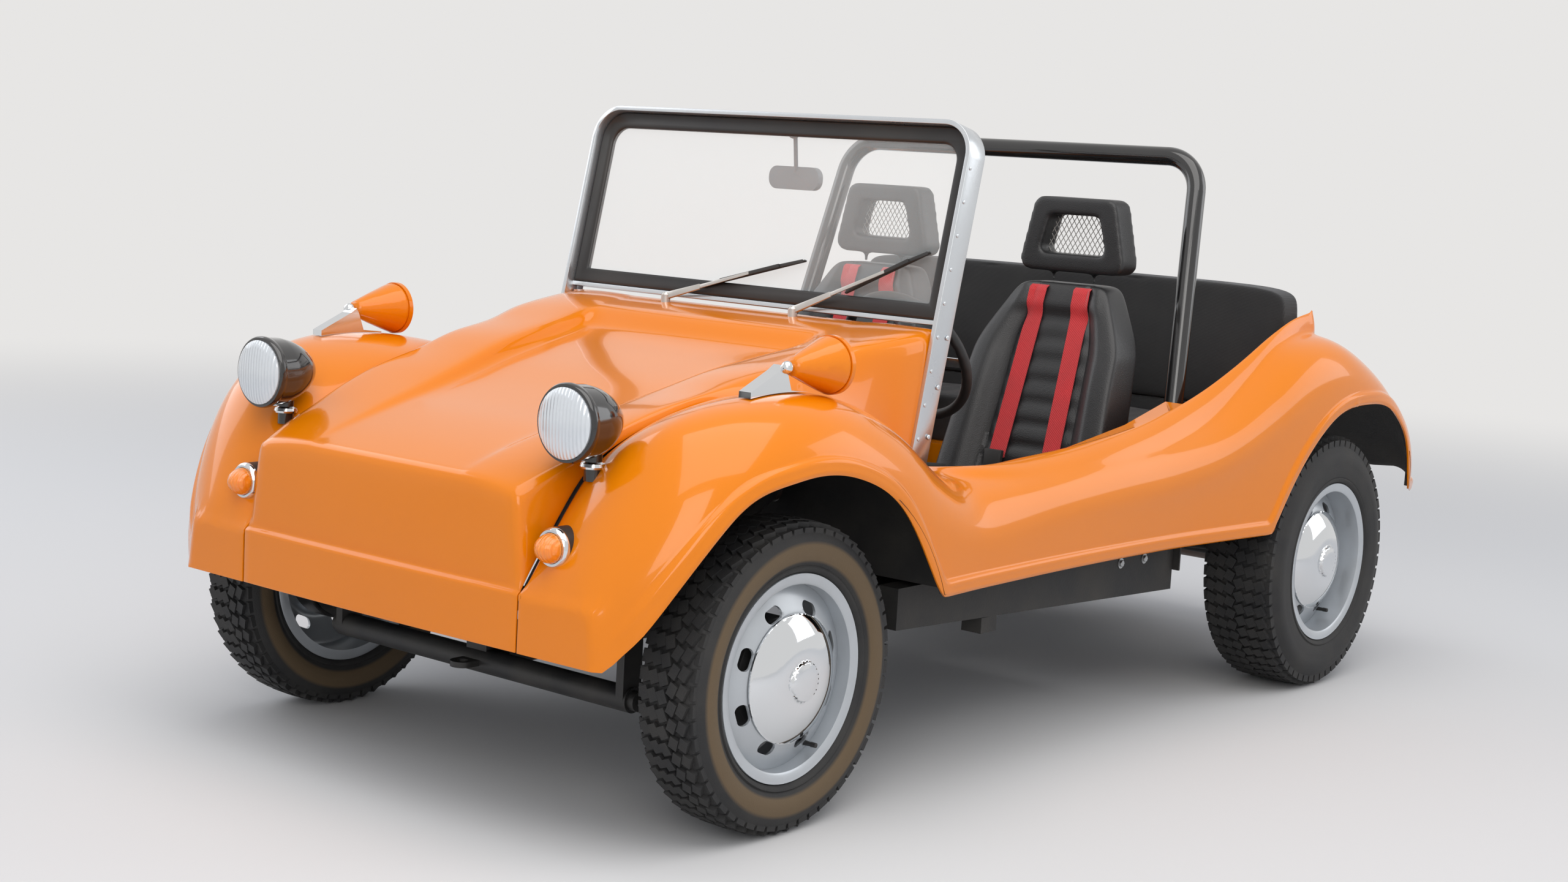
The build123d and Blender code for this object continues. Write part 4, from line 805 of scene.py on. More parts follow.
for end, x, y, radius, half, disc in (("front", 0.6565, -1.125, 0.311, 0.062, 0.057),
                                      ("rear", 0.733, 0.975, 0.334, 0.098, 0.060)):
    foot = disc - 0.037
    barrel_profile = [(-half, 0.1855), (-half + 0.03, 0.1855), (half - 0.03, 0.1855), (half - 0.004, 0.1862),
                      (half - 0.001, 0.190), (half - 0.001, 0.203), (half, 0.2078), (half - 0.003, 0.2085),
                      (half - 0.005, 0.206), (half - 0.005, 0.1905), (0.005 - half, 0.1905),
                      (0.005 - half, 0.206), (0.002 - half, 0.2085), (-half, 0.206)]
    disc_profile = rounded([(foot + 0.006, 0.1875), (foot + 0.010, 0.178), (disc - 0.012, 0.152), (disc, 0.128),
                            (disc - 0.004, 0.112), (foot + 0.004, 0.092), (foot + 0.004, 0.0153),
                            (foot - 0.001, 0.0153), (foot - 0.001, 0.096), (disc - 0.009, 0.114),
                            (disc - 0.005, 0.126), (disc - 0.016, 0.147), (foot + 0.004, 0.176),
                            (foot + 0.001, 0.1875)])
    drum_profile = [(foot - 0.058, 0.107), (foot - 0.058, 0.113), (foot - 0.056, 0.115), (foot - 0.002, 0.115),
                    (foot, 0.112), (foot, 0.0153), (foot - 0.062, 0.0153), (foot - 0.062, 0.028),
                    (foot - 0.008, 0.028), (foot - 0.008, 0.107)]
    for side, name in left_right:
        where = f"{end}_{name}"
        body, node, cap = "wheel_" + where, "rim_" + where, "hub_cap_" + where
        centre, out = (side * x, y, radius), (side, 0, 0)
        pressing = spun(disc_profile, centre, out, 96)
        place_mesh(pressing)
        holes = oblong_holes((side * (x + disc - 0.02), y, radius), 8, 0.142, 0.046, 0.026, 0.08)
        apply(pressing, "BOOLEAN", object=holes, operation="DIFFERENCE", solver="EXACT")
        bpy.data.objects.remove(holes)
        roll_edges(pressing, 0.0007, 1, 50)
        fit(pressing, "wheel_disc_" + where, wheel_silver, "wheel_silver", node, body=body, angle=40)
        barrel = spun(barrel_profile, centre, out, 96)
        fit(barrel, "wheel_barrel_" + where, wheel_silver, "wheel_silver", node, body=body, angle=50)
        drum = spun(drum_profile, centre, out, 64)
        fit(drum, "brake_drum_" + where, chassis_paint, "chassis_black", node, body=body)
        fit(cad_copy(cap), "chrome_" + cap, cap_chrome, "chrome", cap, body=body, angle=25)
        valve = (side * (x + disc - 0.030), y + 0.166 * math.sin(0.5), radius - 0.166 * math.cos(0.5))
        fit(spun(stem_profile, valve, out, 12), "valve_" + where, black_rubber, "tyre_rubber", body=body)

# Windscreen: folded alloy strip frame on a leaning plane, with rivets down both posts,
# a fat black rubber seal and flat clear glass.
screen_lean = math.atan2(0.096, 0.433)
screen_up = Vector((0, math.sin(screen_lean), math.cos(screen_lean)))
screen_out = Vector((0, -math.cos(screen_lean), math.sin(screen_lean)))


def on_screen(across, up, out):
    return Vector((across, -0.473, 0.975)) + screen_up * up + screen_out * out


screen_alloy = finish("screen_alloy", (0.66, 0.69, 0.72), 0.20, dust=(0.45, 0.45, 0.45), dust_amount=0.2,
                      patch=10, spread=0.12, grain=90, bump=0.05, Metallic=0.9)
fit(cad_copy("windscreen_frame", 0.0012), "alloy_screen_frame", screen_alloy, "screen_alloy",
    "windscreen_frame")
fit(cad_copy("windscreen_seal", 0.006), "screen_rubber", black_rubber, "seal_rubber", "windscreen_seal")
screen_glass, glass_tree, clear = new_material("screen_glass")
haze = put(glass_tree, "ShaderNodeTexNoise",
           (("Vector", own_place(glass_tree)), ("Scale", 4.0), ("Detail", 5.0)))
film = put(glass_tree, "ShaderNodeMapRange",
           (("Value", haze.outputs["Fac"]), ("To Min", 0.08), ("To Max", 0.16)))
wire(glass_tree, clear, (("Base Color", (0.93, 0.97, 0.96, 1)), ("Roughness", 0.01), ("IOR", 1.45),
                         ("Alpha", film.outputs[0])))
dress(screen_glass, "windscreen_glass")
post_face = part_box("windscreen_frame")[1].x
rivets = []
for side in (1, -1):
    for count, low, pitch, out, radius, height in ((9, -0.26, 0.075, 0.018, 0.0045, 0.0022),
                                                   (3, -0.25, 0.11, -0.016, 0.006, 0.004)):
        rivets += [stud(on_screen(side * post_face, low + pitch * step, out), (side, 0, 0), radius, height, 12)
                   for step in range(count)]
fit(join(rivets), "screen_rivets", screen_alloy, "screen_alloy")


# Wipers: tapered alloy arms on round spindles, each with a black blade held by a bridge and four claws,
# parked along the foot of the glass.
def bar(start, end, width, thickness, tip=1.0, face=(0, 0, 1), bevel=0.25):
    """Bar from start to end with rolled edges, its broad side towards face, tapered to a share of its size."""
    start, end = Vector(start), Vector(end)
    along = (end - start).normalized()
    across = along.cross(Vector(face)).normalized()
    up = across.cross(along)
    piece = fresh(bpy.ops.mesh.primitive_cube_add, size=1)
    for vertex in piece.data.vertices:
        share = vertex.co.y + 0.5
        spread = across * vertex.co.x * width + up * vertex.co.z * thickness
        vertex.co = start.lerp(end, share) + spread * (1 + (tip - 1) * share)
    return roll_edges(piece, min(width, thickness) * tip * bevel)


wiper_alloy = finish("wiper_alloy", (0.60, 0.58, 0.55), 0.28, dust=(0.3, 0.28, 0.25), dust_amount=0.3, patch=20,
                     Metallic=0.85)
black_plastic = finish("black_plastic", (0.012, 0.012, 0.013), 0.5, grain=400, bump=0.1)
for name, pivot, middle, blade in (
    ("right", -0.220, (0.010, 0.063), ((-0.140, 0.020), (0.160, 0.106))),
    ("left", 0.170, (0.395, 0.096), ((0.290, 0.042), (0.500, 0.150))),
):
    foot, elbow = on_screen(pivot, -0.014, 0.034), on_screen(*middle, 0.022)
    knee = foot.lerp(elbow, 0.42)
    arm = [spun([(-0.028, 0), (-0.028, 0.011), (0.004, 0.011), (0.009, 0.007), (0.009, 0)], foot, (0, 0, 1), 24),
           bar(foot, knee, 0.017, 0.009, 0.75, screen_out), bar(knee, elbow, 0.009, 0.004, 0.8, screen_out)]
    fit(join(arm), f"wiper_arm_{name}", wiper_alloy, "black_plastic", "wipers")
    start, end = on_screen(*blade[0], 0.0125), on_screen(*blade[1], 0.0125)
    lift = screen_out * 0.008
    edge = bar(start - screen_out * 0.0035, end - screen_out * 0.0035, 0.0045, 0.008, 1, screen_out)
    bridge = bar(start.lerp(end, 0.22) + lift, start.lerp(end, 0.78) + lift, 0.009, 0.004, 1, screen_out)
    claws = [bar(start.lerp(end, a), start.lerp(end, b) + screen_out * 0.006, 0.008, 0.0035, 1, screen_out)
             for a, b in ((0.02, 0.24), (0.44, 0.24), (0.56, 0.76), (0.98, 0.76))]
    fit(join([edge, bridge, *claws]), f"wiper_blade_{name}", black_plastic, "black_plastic", "wipers")

# Inside mirror: a grey rounded head on a thin stem from the top rail,
# with its glass to the rear.
grey_plastic = finish("grey_plastic", (0.20, 0.20, 0.205), 0.4, grain=350, bump=0.08)
mirror_glass = finish("mirror_glass", (0.82, 0.84, 0.86), 0.02, bump=0, Metallic=1.0)
fit(cad_copy("interior_mirror", 0.003), "inside_mirror", grey_plastic, "black_plastic", "interior_mirror")
pane = bar((-0.060, -0.3155, 1.264), (0.076, -0.3155, 1.264), 0.002, 0.044, 1, (0, 0, 1), 0.4)
fit(pane, "inside_mirror_glass", mirror_glass, "clear_glass")

# Lamps: black bowls round fluted glasses, on stalks with a bright foot ring. Amber flashers sit on bright rings
# with black gaskets, red tail lamps on bright tubes.
black_gloss = finish("black_gloss", (0.008, 0.008, 0.009), 0.10, dust_amount=0.04, bump=0, Coat_Weight=0.8,
                     Coat_Roughness=0.03)
trim_chrome = finish("trim_chrome", (0.75, 0.77, 0.79), 0.06, dust=(0.5, 0.5, 0.5), dust_amount=0.08,
                     spread=0.04, bump=0, Metallic=1.0)


def ribbed_glass(name, colour, roughness, axis, pitch, strength, **sockets):
    """Pressed lens: a smooth glass whose bump is a row of ribs across one axis."""
    material = finish(name, colour, roughness, dust_amount=0.05, bump=strength, **sockets)
    return emboss(material, "ShaderNodeTexWave", 1 / pitch, "Fac", 0.003, bands_direction=axis)


lamp_glass = ribbed_glass("lamp_glass", (0.72, 0.76, 0.80), 0.10, "X", 0.028, 0.45, Metallic=0.45,
                          Coat_Weight=1.0, Coat_Roughness=0.02)
amber_glass = ribbed_glass("amber_glass", (0.95, 0.26, 0.008), 0.12, "X", 0.02, 0.5, Coat_Weight=0.8,
                           Coat_Roughness=0.03, Subsurface_Weight=0.25, Subsurface_Scale=0.02)
red_glass = ribbed_glass("red_glass", (0.42, 0.008, 0.006), 0.12, "Z", 0.02, 0.5, Coat_Weight=0.8,
                         Coat_Roughness=0.03)
bowl_profile = [(0, 0.0685), (0.0005, 0.0735), (0.004, 0.0758), (0.011, 0.0760), (0.015, 0.0742),
                (0.019, 0.0735), (0.045, 0.0722), (0.070, 0.0665), (0.095, 0.0555), (0.115, 0.0415),
                (0.130, 0.026), (0.139, 0.011), (0.142, 0), (0.0042, 0), (0.0042, 0.0685)]
stalk_profile = [(0.690, 0), (0.690, 0.0172), (0.765, 0.0172), (0.765, 0)]
lens_profile = [(0.0037, 0), (0.0037, 0.0677), (-0.003, 0.0677), (-0.0065, 0.062), (-0.010, 0.050),
                (-0.0125, 0.030), (-0.0135, 0)]
foot_profile = [(0.714, 0.0172), (0.714, 0.024), (0.718, 0.0255), (0.724, 0.0235), (0.727, 0.0172)]
flasher_profile = [(-0.0128, 0.030), (-0.0128, 0.0345), (-0.009, 0.038), (-0.004, 0.040), (-0.0008, 0.0395),
                   (-0.0008, 0.030)]
dome_profile = [(-0.0123, 0), (-0.0123, 0.0292), (-0.018, 0.0285), (-0.028, 0.0255), (-0.037, 0.0195),
                (-0.043, 0.012), (-0.0475, 0.004), (-0.048, 0)]
for side, name in left_right:
    rim, stalk_foot = (side * 0.453, -1.513, 0.803), (side * 0.457, -1.437, 0.0)
    bowl = [spun(bowl_profile, rim, (0, 1, 0), 72), spun(stalk_profile, stalk_foot, (0, 0, 1), 32)]
    fit(join(bowl), f"lamp_bowl_{name}", black_gloss, "black_gloss", "headlamp_shells", angle=40)
    lens = spun(lens_profile, rim, (0, 1, 0), 64)
    fit(lens, f"lamp_glass_{name}", lamp_glass, "lamp_glass", "headlamp_lenses", angle=50)
    fit(spun(foot_profile, stalk_foot, (0, 0, 1), 40), f"lamp_foot_ring_{name}", trim_chrome, "chrome")
    flasher = (side * 0.460, -1.531, 0.572)
    fit(spun(flasher_profile, flasher, (0, 1, 0), 48), f"flasher_ring_{name}", trim_chrome, "chrome")
    dome = spun(dome_profile, flasher, (0, 1, 0), 40)
    fit(dome, f"flasher_dome_{name}", amber_glass, "amber_lens", "indicator_lenses", angle=50)
dress(black_rubber, "indicator_bases")
dress(trim_chrome, "tail_lamp_bases")
dress(red_glass, "tail_lamp_lenses")

# Door mirrors and bumper: bright wedge feet, orange bullet heads with a rolled lip round the glass,
# and one chromed hoop of tube round the tail.
dress(trim_chrome, "mirror_feet", "rear_bumper")
fit(cad_copy("mirror_heads"), "mirror_bullets", orange_gelcoat, "mirror_orange", "mirror_heads", angle=25)
lip_profile = [(-0.010, 0.0568), (-0.010, 0.0595), (0.000, 0.0598), (0.001, 0.054), (-0.002, 0.050),
               (-0.004, 0.050)]
pane_profile = [(-0.0045, 0), (-0.0045, 0.0495), (-0.0035, 0.0495), (-0.0030, 0)]
for side, name in left_right:
    back = (side * 0.650, -0.9703, 0.912)
    fit(spun(lip_profile, back, (0, 1, 0), 48), f"mirror_lip_{name}", orange_gelcoat, "mirror_orange")
    fit(spun(pane_profile, back, (0, 1, 0), 48), f"mirror_glass_{name}", mirror_glass, "clear_glass")

# Roll bar: one black enamelled tube hoop behind the seats,
# bolted through foot plates to the wheel wells.
dress(black_gloss, "roll_bar")
plate_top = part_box("roll_bar")[0].z + 0.005
feet = [stud((side * x, y, plate_top), (0, 0, 1), 0.0075, 0.006)
        for side in (1, -1) for x in (0.612, 0.672) for y in (0.437, 0.497)]
fit(join(feet), "roll_bar_bolts", zinc, "chassis_black")


# Seats: two buckets in black grained vinyl, thick bolsters round a centre that is sewn into level pleats,
# on steel frames.
def pillow(cuts, power, mapping):
    """Closed cushion: a subdivided cube rounded off, then led to its place by a function of -1 to 1."""
    piece = fresh(bpy.ops.mesh.primitive_cube_add, size=2)
    open_mesh()
    bpy.ops.mesh.subdivide(number_cuts=cuts)
    close_mesh()
    for vertex in piece.data.vertices:
        size = sum(abs(part) ** power for part in vertex.co) ** (1 / power)
        vertex.co = mapping(*(vertex.co / size))
    return piece


def seam(value, at, width):
    """Depth from 0 to 1 of a sewn groove."""
    return math.exp(-((value - at) / width) ** 2)


def pleats(along, count, start, length):
    """Height from 0 to 1 of a row of sewn pleats."""
    return abs(math.sin(math.pi * count * (along - start) / length)) ** 0.4


def within(value, start, risen, falling, end):
    """1 between two limits of a panel, easing to 0 beyond them."""
    return smooth(start, risen, value) * (1 - smooth(falling, end, value))


def back_relief(across, height, pleated=True):
    """How far a seat back stands forward of its flat face, by -1 to 1 across and 0 to 1 up."""
    out = abs(across)
    bolster = 0.040 * smooth(0.50, 0.78, out) * (1 - 0.55 * smooth(0.55, 1.0, height))
    inner = (1 - smooth(0.46, 0.54, out)) * within(height, 0.05, 0.08, 0.84, 0.88)
    top_roll = 0.012 * smooth(0.86, 0.92, height) * (1 - smooth(0.5, 0.9, out))
    groove = 0.009 * inner * (1 - pleats(height, 9, 0.06, 0.80)) * pleated
    return bolster + top_roll - groove - 0.008 * seam(out, 0.52, 0.03)


def seat_relief(across, length):
    out = abs(across)
    inner = (1 - smooth(0.46, 0.54, out)) * within(length, 0.08, 0.12, 0.78, 0.82)
    groove = 0.009 * inner * (1 - pleats(length, 5, 0.10, 0.70))
    return 0.034 * smooth(0.52, 0.80, out) - groove - 0.008 * seam(out, 0.52, 0.03)


def back_half(height):
    """Half the width of a seat back, which narrows towards its top."""
    return (0.250 - 0.056 * height) * (1 - 0.26 * smooth(0.70, 1.0, height))


def back_point(x, y, across, depth, up, pleated=True):
    height = (up + 1) / 2
    half = back_half(height)
    forward = back_relief(across, height, pleated) * smooth(-0.1, 0.8, -depth)
    middle = y - 0.190 + 0.175 * height
    return (x + across * half, middle + depth * (0.055 - 0.015 * height) - forward, 0.430 + 0.605 * height)


def seat_point(x, y, across, depth, up):
    length = (depth + 1) / 2
    top = 0.140 - 0.035 * smooth(0.1, 1.0, length) + seat_relief(across, length)
    return (x + across * 0.245 * (1 - 0.04 * depth ** 2), y - 0.655 + 0.417 * length,
            0.430 + top * (up + 1) / 2)


seat_vinyl = finish("seat_vinyl", (0.011, 0.011, 0.012), 0.34, dust=(0.05, 0.05, 0.052), dust_amount=0.25,
                    patch=5, spread=0.15, bump=0.35, Coat_Weight=0.15, Coat_Roughness=0.25)
emboss(seat_vinyl, "ShaderNodeTexVoronoi", 420.0, "Distance", 0.0012)
seats = ((0.337, 0.425, "driver"), (-0.337, 0.520, "passenger"))
for x, y, name in seats:
    back = pillow(54, 9, lambda *cube: back_point(x, y, *cube))
    fit(back, "seat_back_" + name, seat_vinyl, "seat_vinyl", "seat_backs", angle=60)
    cushion = pillow(44, 8, lambda *cube: seat_point(x, y, *cube))
    fit(cushion, "seat_cushion_" + name, seat_vinyl, "seat_vinyl", "seat_cushions", angle=60)


# Headrests: soft black frames over the seat backs,
# their opening filled by a grey diamond net.
net_grey = finish("net_grey", (0.32, 0.31, 0.29), 0.6, dust_amount=0.3, grain=600, bump=0.2)
rests = apply(cad_copy("headrests"), "REMESH", mode="VOXEL", voxel_size=0.006)
apply(rests, "SMOOTH", factor=0.5, iterations=10)
fit(rests, "headrest_frames", seat_vinyl, "seat_vinyl", "headrests", angle=70)
for x, y, name in seats:
    net = fresh(bpy.ops.mesh.primitive_grid_add, x_subdivisions=22, y_subdivisions=22, size=0.30)
    net.rotation_euler = (0, 0, math.radians(45))
    place_mesh(net)
    net.scale = (0.75, 1.15, 1)
    net.rotation_euler = (math.radians(90), 0, 0)
    net.location = (x, y + 0.004, 1.157)
    place_mesh(net)
    bpy.ops.object.mode_set(mode="EDIT")
    slope = 26 / 144
    for place, way in (((x + 0.110, y, 1.100), (1, 0, slope)), ((x - 0.110, y, 1.100), (-1, 0, slope)),
                       ((x, y, 1.214), (0, 0, 1)), ((x, y, 1.100), (0, 0, -1))):
        bpy.ops.mesh.select_all(action="SELECT")
        bpy.ops.mesh.bisect(plane_co=place, plane_no=way, clear_outer=True)
    close_mesh()
    apply(net, "WIREFRAME", thickness=0.0022)
    fit(net, "headrest_net_" + name, net_grey, "seat_vinyl")

# Harness: two plain red webbing straps down each seat back,
# from under the headrest to dark buckles at the lap.
strap_red = finish("strap_red", (0.56, 0.012, 0.016), 0.55, dust=(0.30, 0.02, 0.02), dust_amount=0.4, patch=12,
                   spread=0.1, bump=0.5, Sheen_Weight=0.3)
emboss(strap_red, "ShaderNodeTexWave", 90.0, "Fac", 0.001, bands_direction="DIAGONAL")
for x, y, name in seats:
    for side, where in left_right:
        strap = fresh(bpy.ops.mesh.primitive_grid_add, x_subdivisions=4, y_subdivisions=48, size=2)
        for vertex in strap.data.vertices:
            up = (vertex.co.y + 1) / 2
            height = 0.27 + 0.79 * up
            middle = side * (0.078 - 0.016 * up)
            over = max(height - 0.985, 0)
            across = middle + vertex.co.x * 0.024
            half = back_half(min(height, 1))
            spot = back_point(0, y, across / half, -0.985, 2 * min(height, 0.985) - 1, False)
            vertex.co = (x + across, spot[1] - 0.005 + over * 0.9, spot[2] + over * 0.12)
        apply(strap, "SOLIDIFY", thickness=0.0022)
        fit(strap, f"strap_{name}_{where}", strap_red, "harness_red", "harness_straps", angle=50)
        low = Vector(back_point(x, y, side * 0.078 / 0.235, -1, 2 * 0.255 - 1))
        tongue = bar(low + Vector((0, -0.012, 0.028)), low + Vector((0, -0.020, -0.040)), 0.052, 0.014, 0.9,
                     (0, -1, 0.3))
        fit(tongue, f"buckle_{name}_{where}", black_plastic, "black_plastic")


# Rear bench: one wide back and one cushion, foam under plain black woven cloth, sewn with upright seams.
# The back stands on a narrower foot between the wheel wells.
bench_cloth = finish("bench_cloth", (0.013, 0.013, 0.014), 0.8, dust=(0.045, 0.043, 0.04), dust_amount=0.4,
                     patch=6, spread=0.1, bump=0.6, Sheen_Weight=0.25, Sheen_Roughness=0.4)
cloth = bench_cloth.node_tree
threads = [put(cloth, "ShaderNodeTexWave", (("Vector", own_place(cloth)), ("Scale", 160.0), ("Distortion", 0.6)),
               bands_direction=axis).outputs["Fac"] for axis in "XZ"]
weave = put(cloth, "ShaderNodeMath", ((0, threads[0]), (1, threads[1])), operation="MULTIPLY")
wire(cloth, cloth.nodes["relief"], (("Height", weave.outputs[0]), ("Distance", 0.0015)))
cushion_low, cushion_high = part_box("rear_seat_cushion")
rest_low, rest_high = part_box("rear_seat_back")


def bench_seat_point(across, depth, up):
    middle = (cushion_low + cushion_high) / 2
    half = (cushion_high - cushion_low) / 2
    sag = 0.010 * seam(abs(across), 0.34, 0.02) + 0.012 * across ** 2
    top = up * half.z * (1 + 0.10 * (1 - across ** 2)) - (sag if up > 0 else 0) * smooth(0, 0.6, up)
    return (middle.x + across * half.x, middle.y + depth * half.y * (1 - 0.02 * across ** 2), middle.z + top)


def bench_back_point(across, depth, up):
    height = (up + 1) / 2
    lean = 0.035 * smooth(0.1, 1.0, height)
    front = rest_low.y + 0.004 + lean + 0.008 * seam(abs(across), 0.34, 0.012)
    back = rest_high.y - 0.002
    bulge = 0.012 * (1 - across ** 2) * (1 - up ** 2)
    y = front - bulge + (depth + 1) / 2 * (back - front + bulge)
    low = 0.7235
    return (across * 0.688 * (1 - 0.015 * up ** 2), y,
            low + height * (rest_high.z - low) * (1 - 0.02 * across ** 4))


def bench_foot_point(across, depth, up):
    front = rest_low.y + 0.012 - 0.008 * (1 - up ** 2)
    y = front + (depth + 1) / 2 * (rest_high.y - 0.002 - front)
    return (across * 0.590, y, rest_low.z + 0.001 + (up + 1) / 2 * 0.154)


for name, mapping, nodes in (("bench_seat", bench_seat_point, "rear_seat_cushion"),
                             ("bench_back", bench_back_point, "rear_seat_back"),
                             ("bench_back_foot", bench_foot_point, "rear_seat_back")):
    fit(pillow(40, 14, mapping), name, bench_cloth, "bench_fabric", nodes, angle=60)

# Dashboard and steering: a black panel with a rolled edge, three round gauges with plain dials, switches,
# and a three-spoke wheel with alloy spokes.
fit(cad_copy("dashboard", 0.004), "dash_panel", black_plastic, "black_plastic", "dashboard")
dash_front = -0.4848
dial_face = finish("dial_face", (0.02, 0.02, 0.022), 0.3, bump=0)
dial_white = finish("dial_white", (0.75, 0.75, 0.72), 0.5, bump=0)
for index, (x, z, r) in enumerate(((0.300, 0.853, 0.046), (0.205, 0.848, 0.028), (0.395, 0.848, 0.028))):
    face = Vector((x, dash_front, z))
    bezel = spun([(0, r * 0.86), (0, r), (0.006, r), (0.009, r * 0.95), (0.009, r * 0.88), (0.004, r * 0.86)],
                 face, (0, 1, 0), 40)
    fit(bezel, f"gauge_ring_{index}", trim_chrome, "chrome")
    plate = spun([(0, 0), (0, r * 0.87), (0.003, r * 0.87), (0.003, 0)], face, (0, 1, 0), 40)
    fit(plate, f"gauge_face_{index}", dial_face, "black_plastic")
    ticks = []
    for step in range(11):
        turn = math.radians(-130 + 26 * step)
        way = Vector((math.sin(turn), 0, math.cos(turn)))
        start = face + Vector((0, 0.0036, 0))
        ticks.append(bar(start + way * r * 0.68, start + way * r * 0.80, 0.0016, 0.0008, 1, (0, 1, 0)))
    way = Vector((math.sin(-1.9), 0, math.cos(-1.9)))
    pivot = face + Vector((0, 0.0046, 0))
    ticks.append(bar(pivot, pivot + way * r * 0.6, 0.002, 0.001, 0.4, (0, 1, 0)))
    fit(join(ticks), f"gauge_marks_{index}", dial_white, "black_plastic")
knobs = [spun([(0, 0), (0, 0.009), (0.004, 0.009), (0.004, 0.003), (0.016, 0.005), (0.018, 0)],
              (x, dash_front, 0.835), (0, 1, 0), 16) for x in (0.02, 0.06, 0.10)]
fit(join(knobs), "dash_switches", trim_chrome, "chrome")
column_way = Vector((0, math.cos(math.radians(30)), math.sin(math.radians(30))))
wheel_turn = Vector((0, 0, 1)).rotation_difference(column_way).to_euler()
hub = Vector((0.300, -0.235, 0.868))
grip = fresh(bpy.ops.mesh.primitive_torus_add, major_radius=0.163, minor_radius=0.0118, major_segments=72,
             minor_segments=16, location=hub, rotation=wheel_turn)
for vertex in grip.data.vertices:
    turn = math.atan2(vertex.co.y, vertex.co.x)
    vertex.co.z -= 0.0022 * smooth(0.0, 1.0, math.cos(36 * turn)) * (vertex.co.z < 0)
fit(grip, "steering_rim", black_plastic, "black_plastic", "steering_wheel", body="steering_wheel")
spokes = []
down = wheel_turn.to_matrix() @ Vector((0, 1, 0))
down = down if down.z < 0 else -down
for way in (Vector((1, 0, 0)), Vector((-1, 0, 0)), down):
    spokes.append(bar(hub + way * 0.020 - column_way * 0.006, hub + way * 0.156 - column_way * 0.003, 0.030,
                      0.004, 0.8, column_way))
spokes.append(spun([(-0.053, 0), (-0.053, 0.024), (-0.030, 0.027), (-0.010, 0.030), (-0.008, 0)], hub,
                   column_way, 32))
spokes.append(spun([(-0.300, 0), (-0.300, 0.0115), (-0.050, 0.0115), (-0.050, 0)], hub, column_way, 20))
fit(join(spokes), "steering_spokes", screen_alloy, "screen_alloy", "steering_wheel", body="steering_wheel")
pad = spun([(-0.012, 0), (-0.012, 0.030), (-0.004, 0.031), (0.003, 0.027), (0.006, 0.016), (0.007, 0)], hub,
           column_way, 36)
fit(pad, "steering_pad", black_rubber, "black_plastic", "steering_wheel", body="steering_wheel")

# Levers: a bright leaning gear stick with a black ball and a rubber gaiter,
# and a hand brake with a ribbed grip.
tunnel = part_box("hand_levers")[0].z
stick_way = (0, -0.060, 0.220)
stick = spun([(0, 0), (0, 0.0068), (0.215, 0.0055), (0.215, 0)], (0, -0.115, tunnel + 0.006), stick_way, 16)
fit(stick, "gear_stick", trim_chrome, "chrome", "hand_levers")
folds = [(0.004 + 0.005 * step, 0.027 - 0.004 * step + 0.002 * (step % 2)) for step in range(5)]
gaiter = [(0, 0), (0, 0.029), *folds, (0.030, 0)]
turns = [math.radians(step) for step in range(-90, 91, 15)]
ball = [(0.021 * math.sin(turn), max(0.021 * math.cos(turn), 0)) for turn in turns]
soft = [spun(gaiter, (0, -0.115, tunnel), (0, 0, 1), 28), spun(ball, (0, -0.175, 0.695), stick_way, 24)]
fit(join(soft), "gear_knob", black_rubber, "chassis_black", "hand_levers")
brake_foot, brake_tip = Vector((0, 0.135, 0.500)), Vector((0, -0.045, 0.560))
brake_way = brake_tip - brake_foot
reach = brake_way.length
ribs = [(0.110 + 0.006 * step, 0.0125 if step % 2 else 0.0108) for step in range(12)]
grip = spun([(0.105, 0), (0.105, 0.0125), *ribs, (reach, 0.009), (reach, 0.0)], brake_foot, brake_way, 20)
fit(grip, "brake_grip", black_rubber, "chassis_black", "hand_levers")
quadrant = [spun([(0, 0), (0, 0.0075), (0.108, 0.0075), (0.108, 0)], brake_foot, brake_way, 16),
            bar((0, 0.105, tunnel + 0.022), (0, 0.165, tunnel + 0.022), 0.030, 0.043, 1, (0, 0, 1), 0.15),
            spun([(reach - 0.002, 0), (reach - 0.002, 0.005), (reach + 0.008, 0.005), (reach + 0.009, 0)],
                 brake_foot, brake_way, 16)]
fit(join(quadrant), "brake_lever", chassis_paint, "chassis_black", "hand_levers")

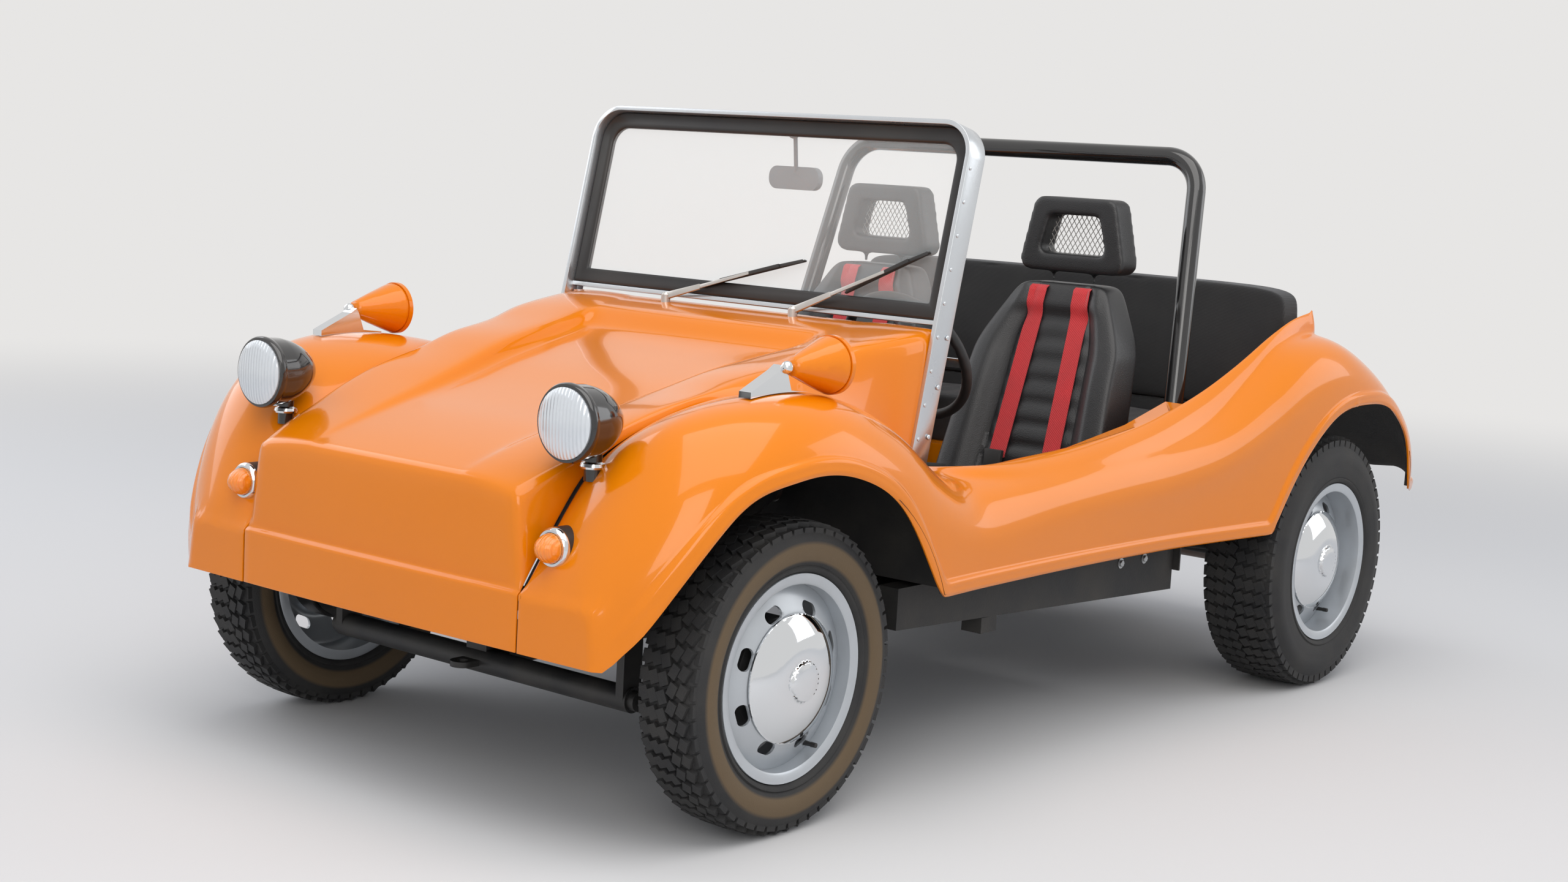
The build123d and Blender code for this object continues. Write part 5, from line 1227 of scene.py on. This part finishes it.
# Engine: air-cooled flat four, a cast case with finned cylinders each side under a black fan shroud,
# with belt, pulleys and air cleaner. The exhaust is a steel cross box with two tail pipes.
cast_alloy = finish("cast_alloy", (0.38, 0.38, 0.37), 0.45, dust=(0.12, 0.10, 0.08), dust_amount=0.6, patch=14,
                    spread=0.2, grain=220, bump=0.3, Metallic=0.7)
exhaust_steel = finish("exhaust_steel", (0.22, 0.20, 0.18), 0.45, dust=(0.22, 0.08, 0.03), dust_amount=0.5,
                       patch=16, spread=0.2, grain=160, bump=0.2, Metallic=0.7)
dress(exhaust_steel, "exhaust")
fit(cad_copy("engine", 0.004), "engine_case", cast_alloy, "engine_metal", "engine")
fins = [bar((x, 1.190, 0.319), (x, 1.410, 0.319), 0.004, 0.094, 1, (0, 0, 1), 0.1)
        for x in [side * (0.190 + 0.016 * step) for side in (1, -1) for step in range(12)]]
fit(join(fins), "cylinder_fins", cast_alloy, "engine_metal")
shroud = [bar((-0.302, 1.250, 0.530), (0.302, 1.250, 0.530), 0.094, 0.262, 1, (0, 0, 1), 0.12),
          spun([(0.0, 0), (0.0, 0.132), (0.118, 0.132), (0.127, 0.120), (0.127, 0)], (0, 1.174, 0.600),
               (0, 1, 0), 48)]
fit(join(shroud), "fan_shroud", black_gloss, "engine_metal")
pulleys = [spun([(0, 0), (0, 0.050), (0.004, 0.056), (0.008, 0.048), (0.012, 0.056), (0.016, 0.050), (0.016, 0)],
                (0, 1.4155, 0.560), (0, 1, 0), 40),
           spun([(0, 0), (0, 0.078), (0.005, 0.085), (0.009, 0.076), (0.013, 0.085), (0.017, 0.078), (0.017, 0)],
                (0, 1.4355, 0.314), (0, 1, 0), 48)]
fit(join(pulleys), "belt_pulleys", screen_alloy, "engine_metal")
cleaner = spun([(0, 0), (0, 0.070), (0.012, 0.078), (0.030, 0.078), (0.042, 0.070), (0.050, 0.030), (0.052, 0)],
               (0, 1.345, 0.700), (0, 0, 1), 48)
fit(cleaner, "air_cleaner", black_gloss, "engine_metal")

size = {"cad": [list(cad_low), list(cad_high)]}
size["visual"] = [list(corner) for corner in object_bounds()]
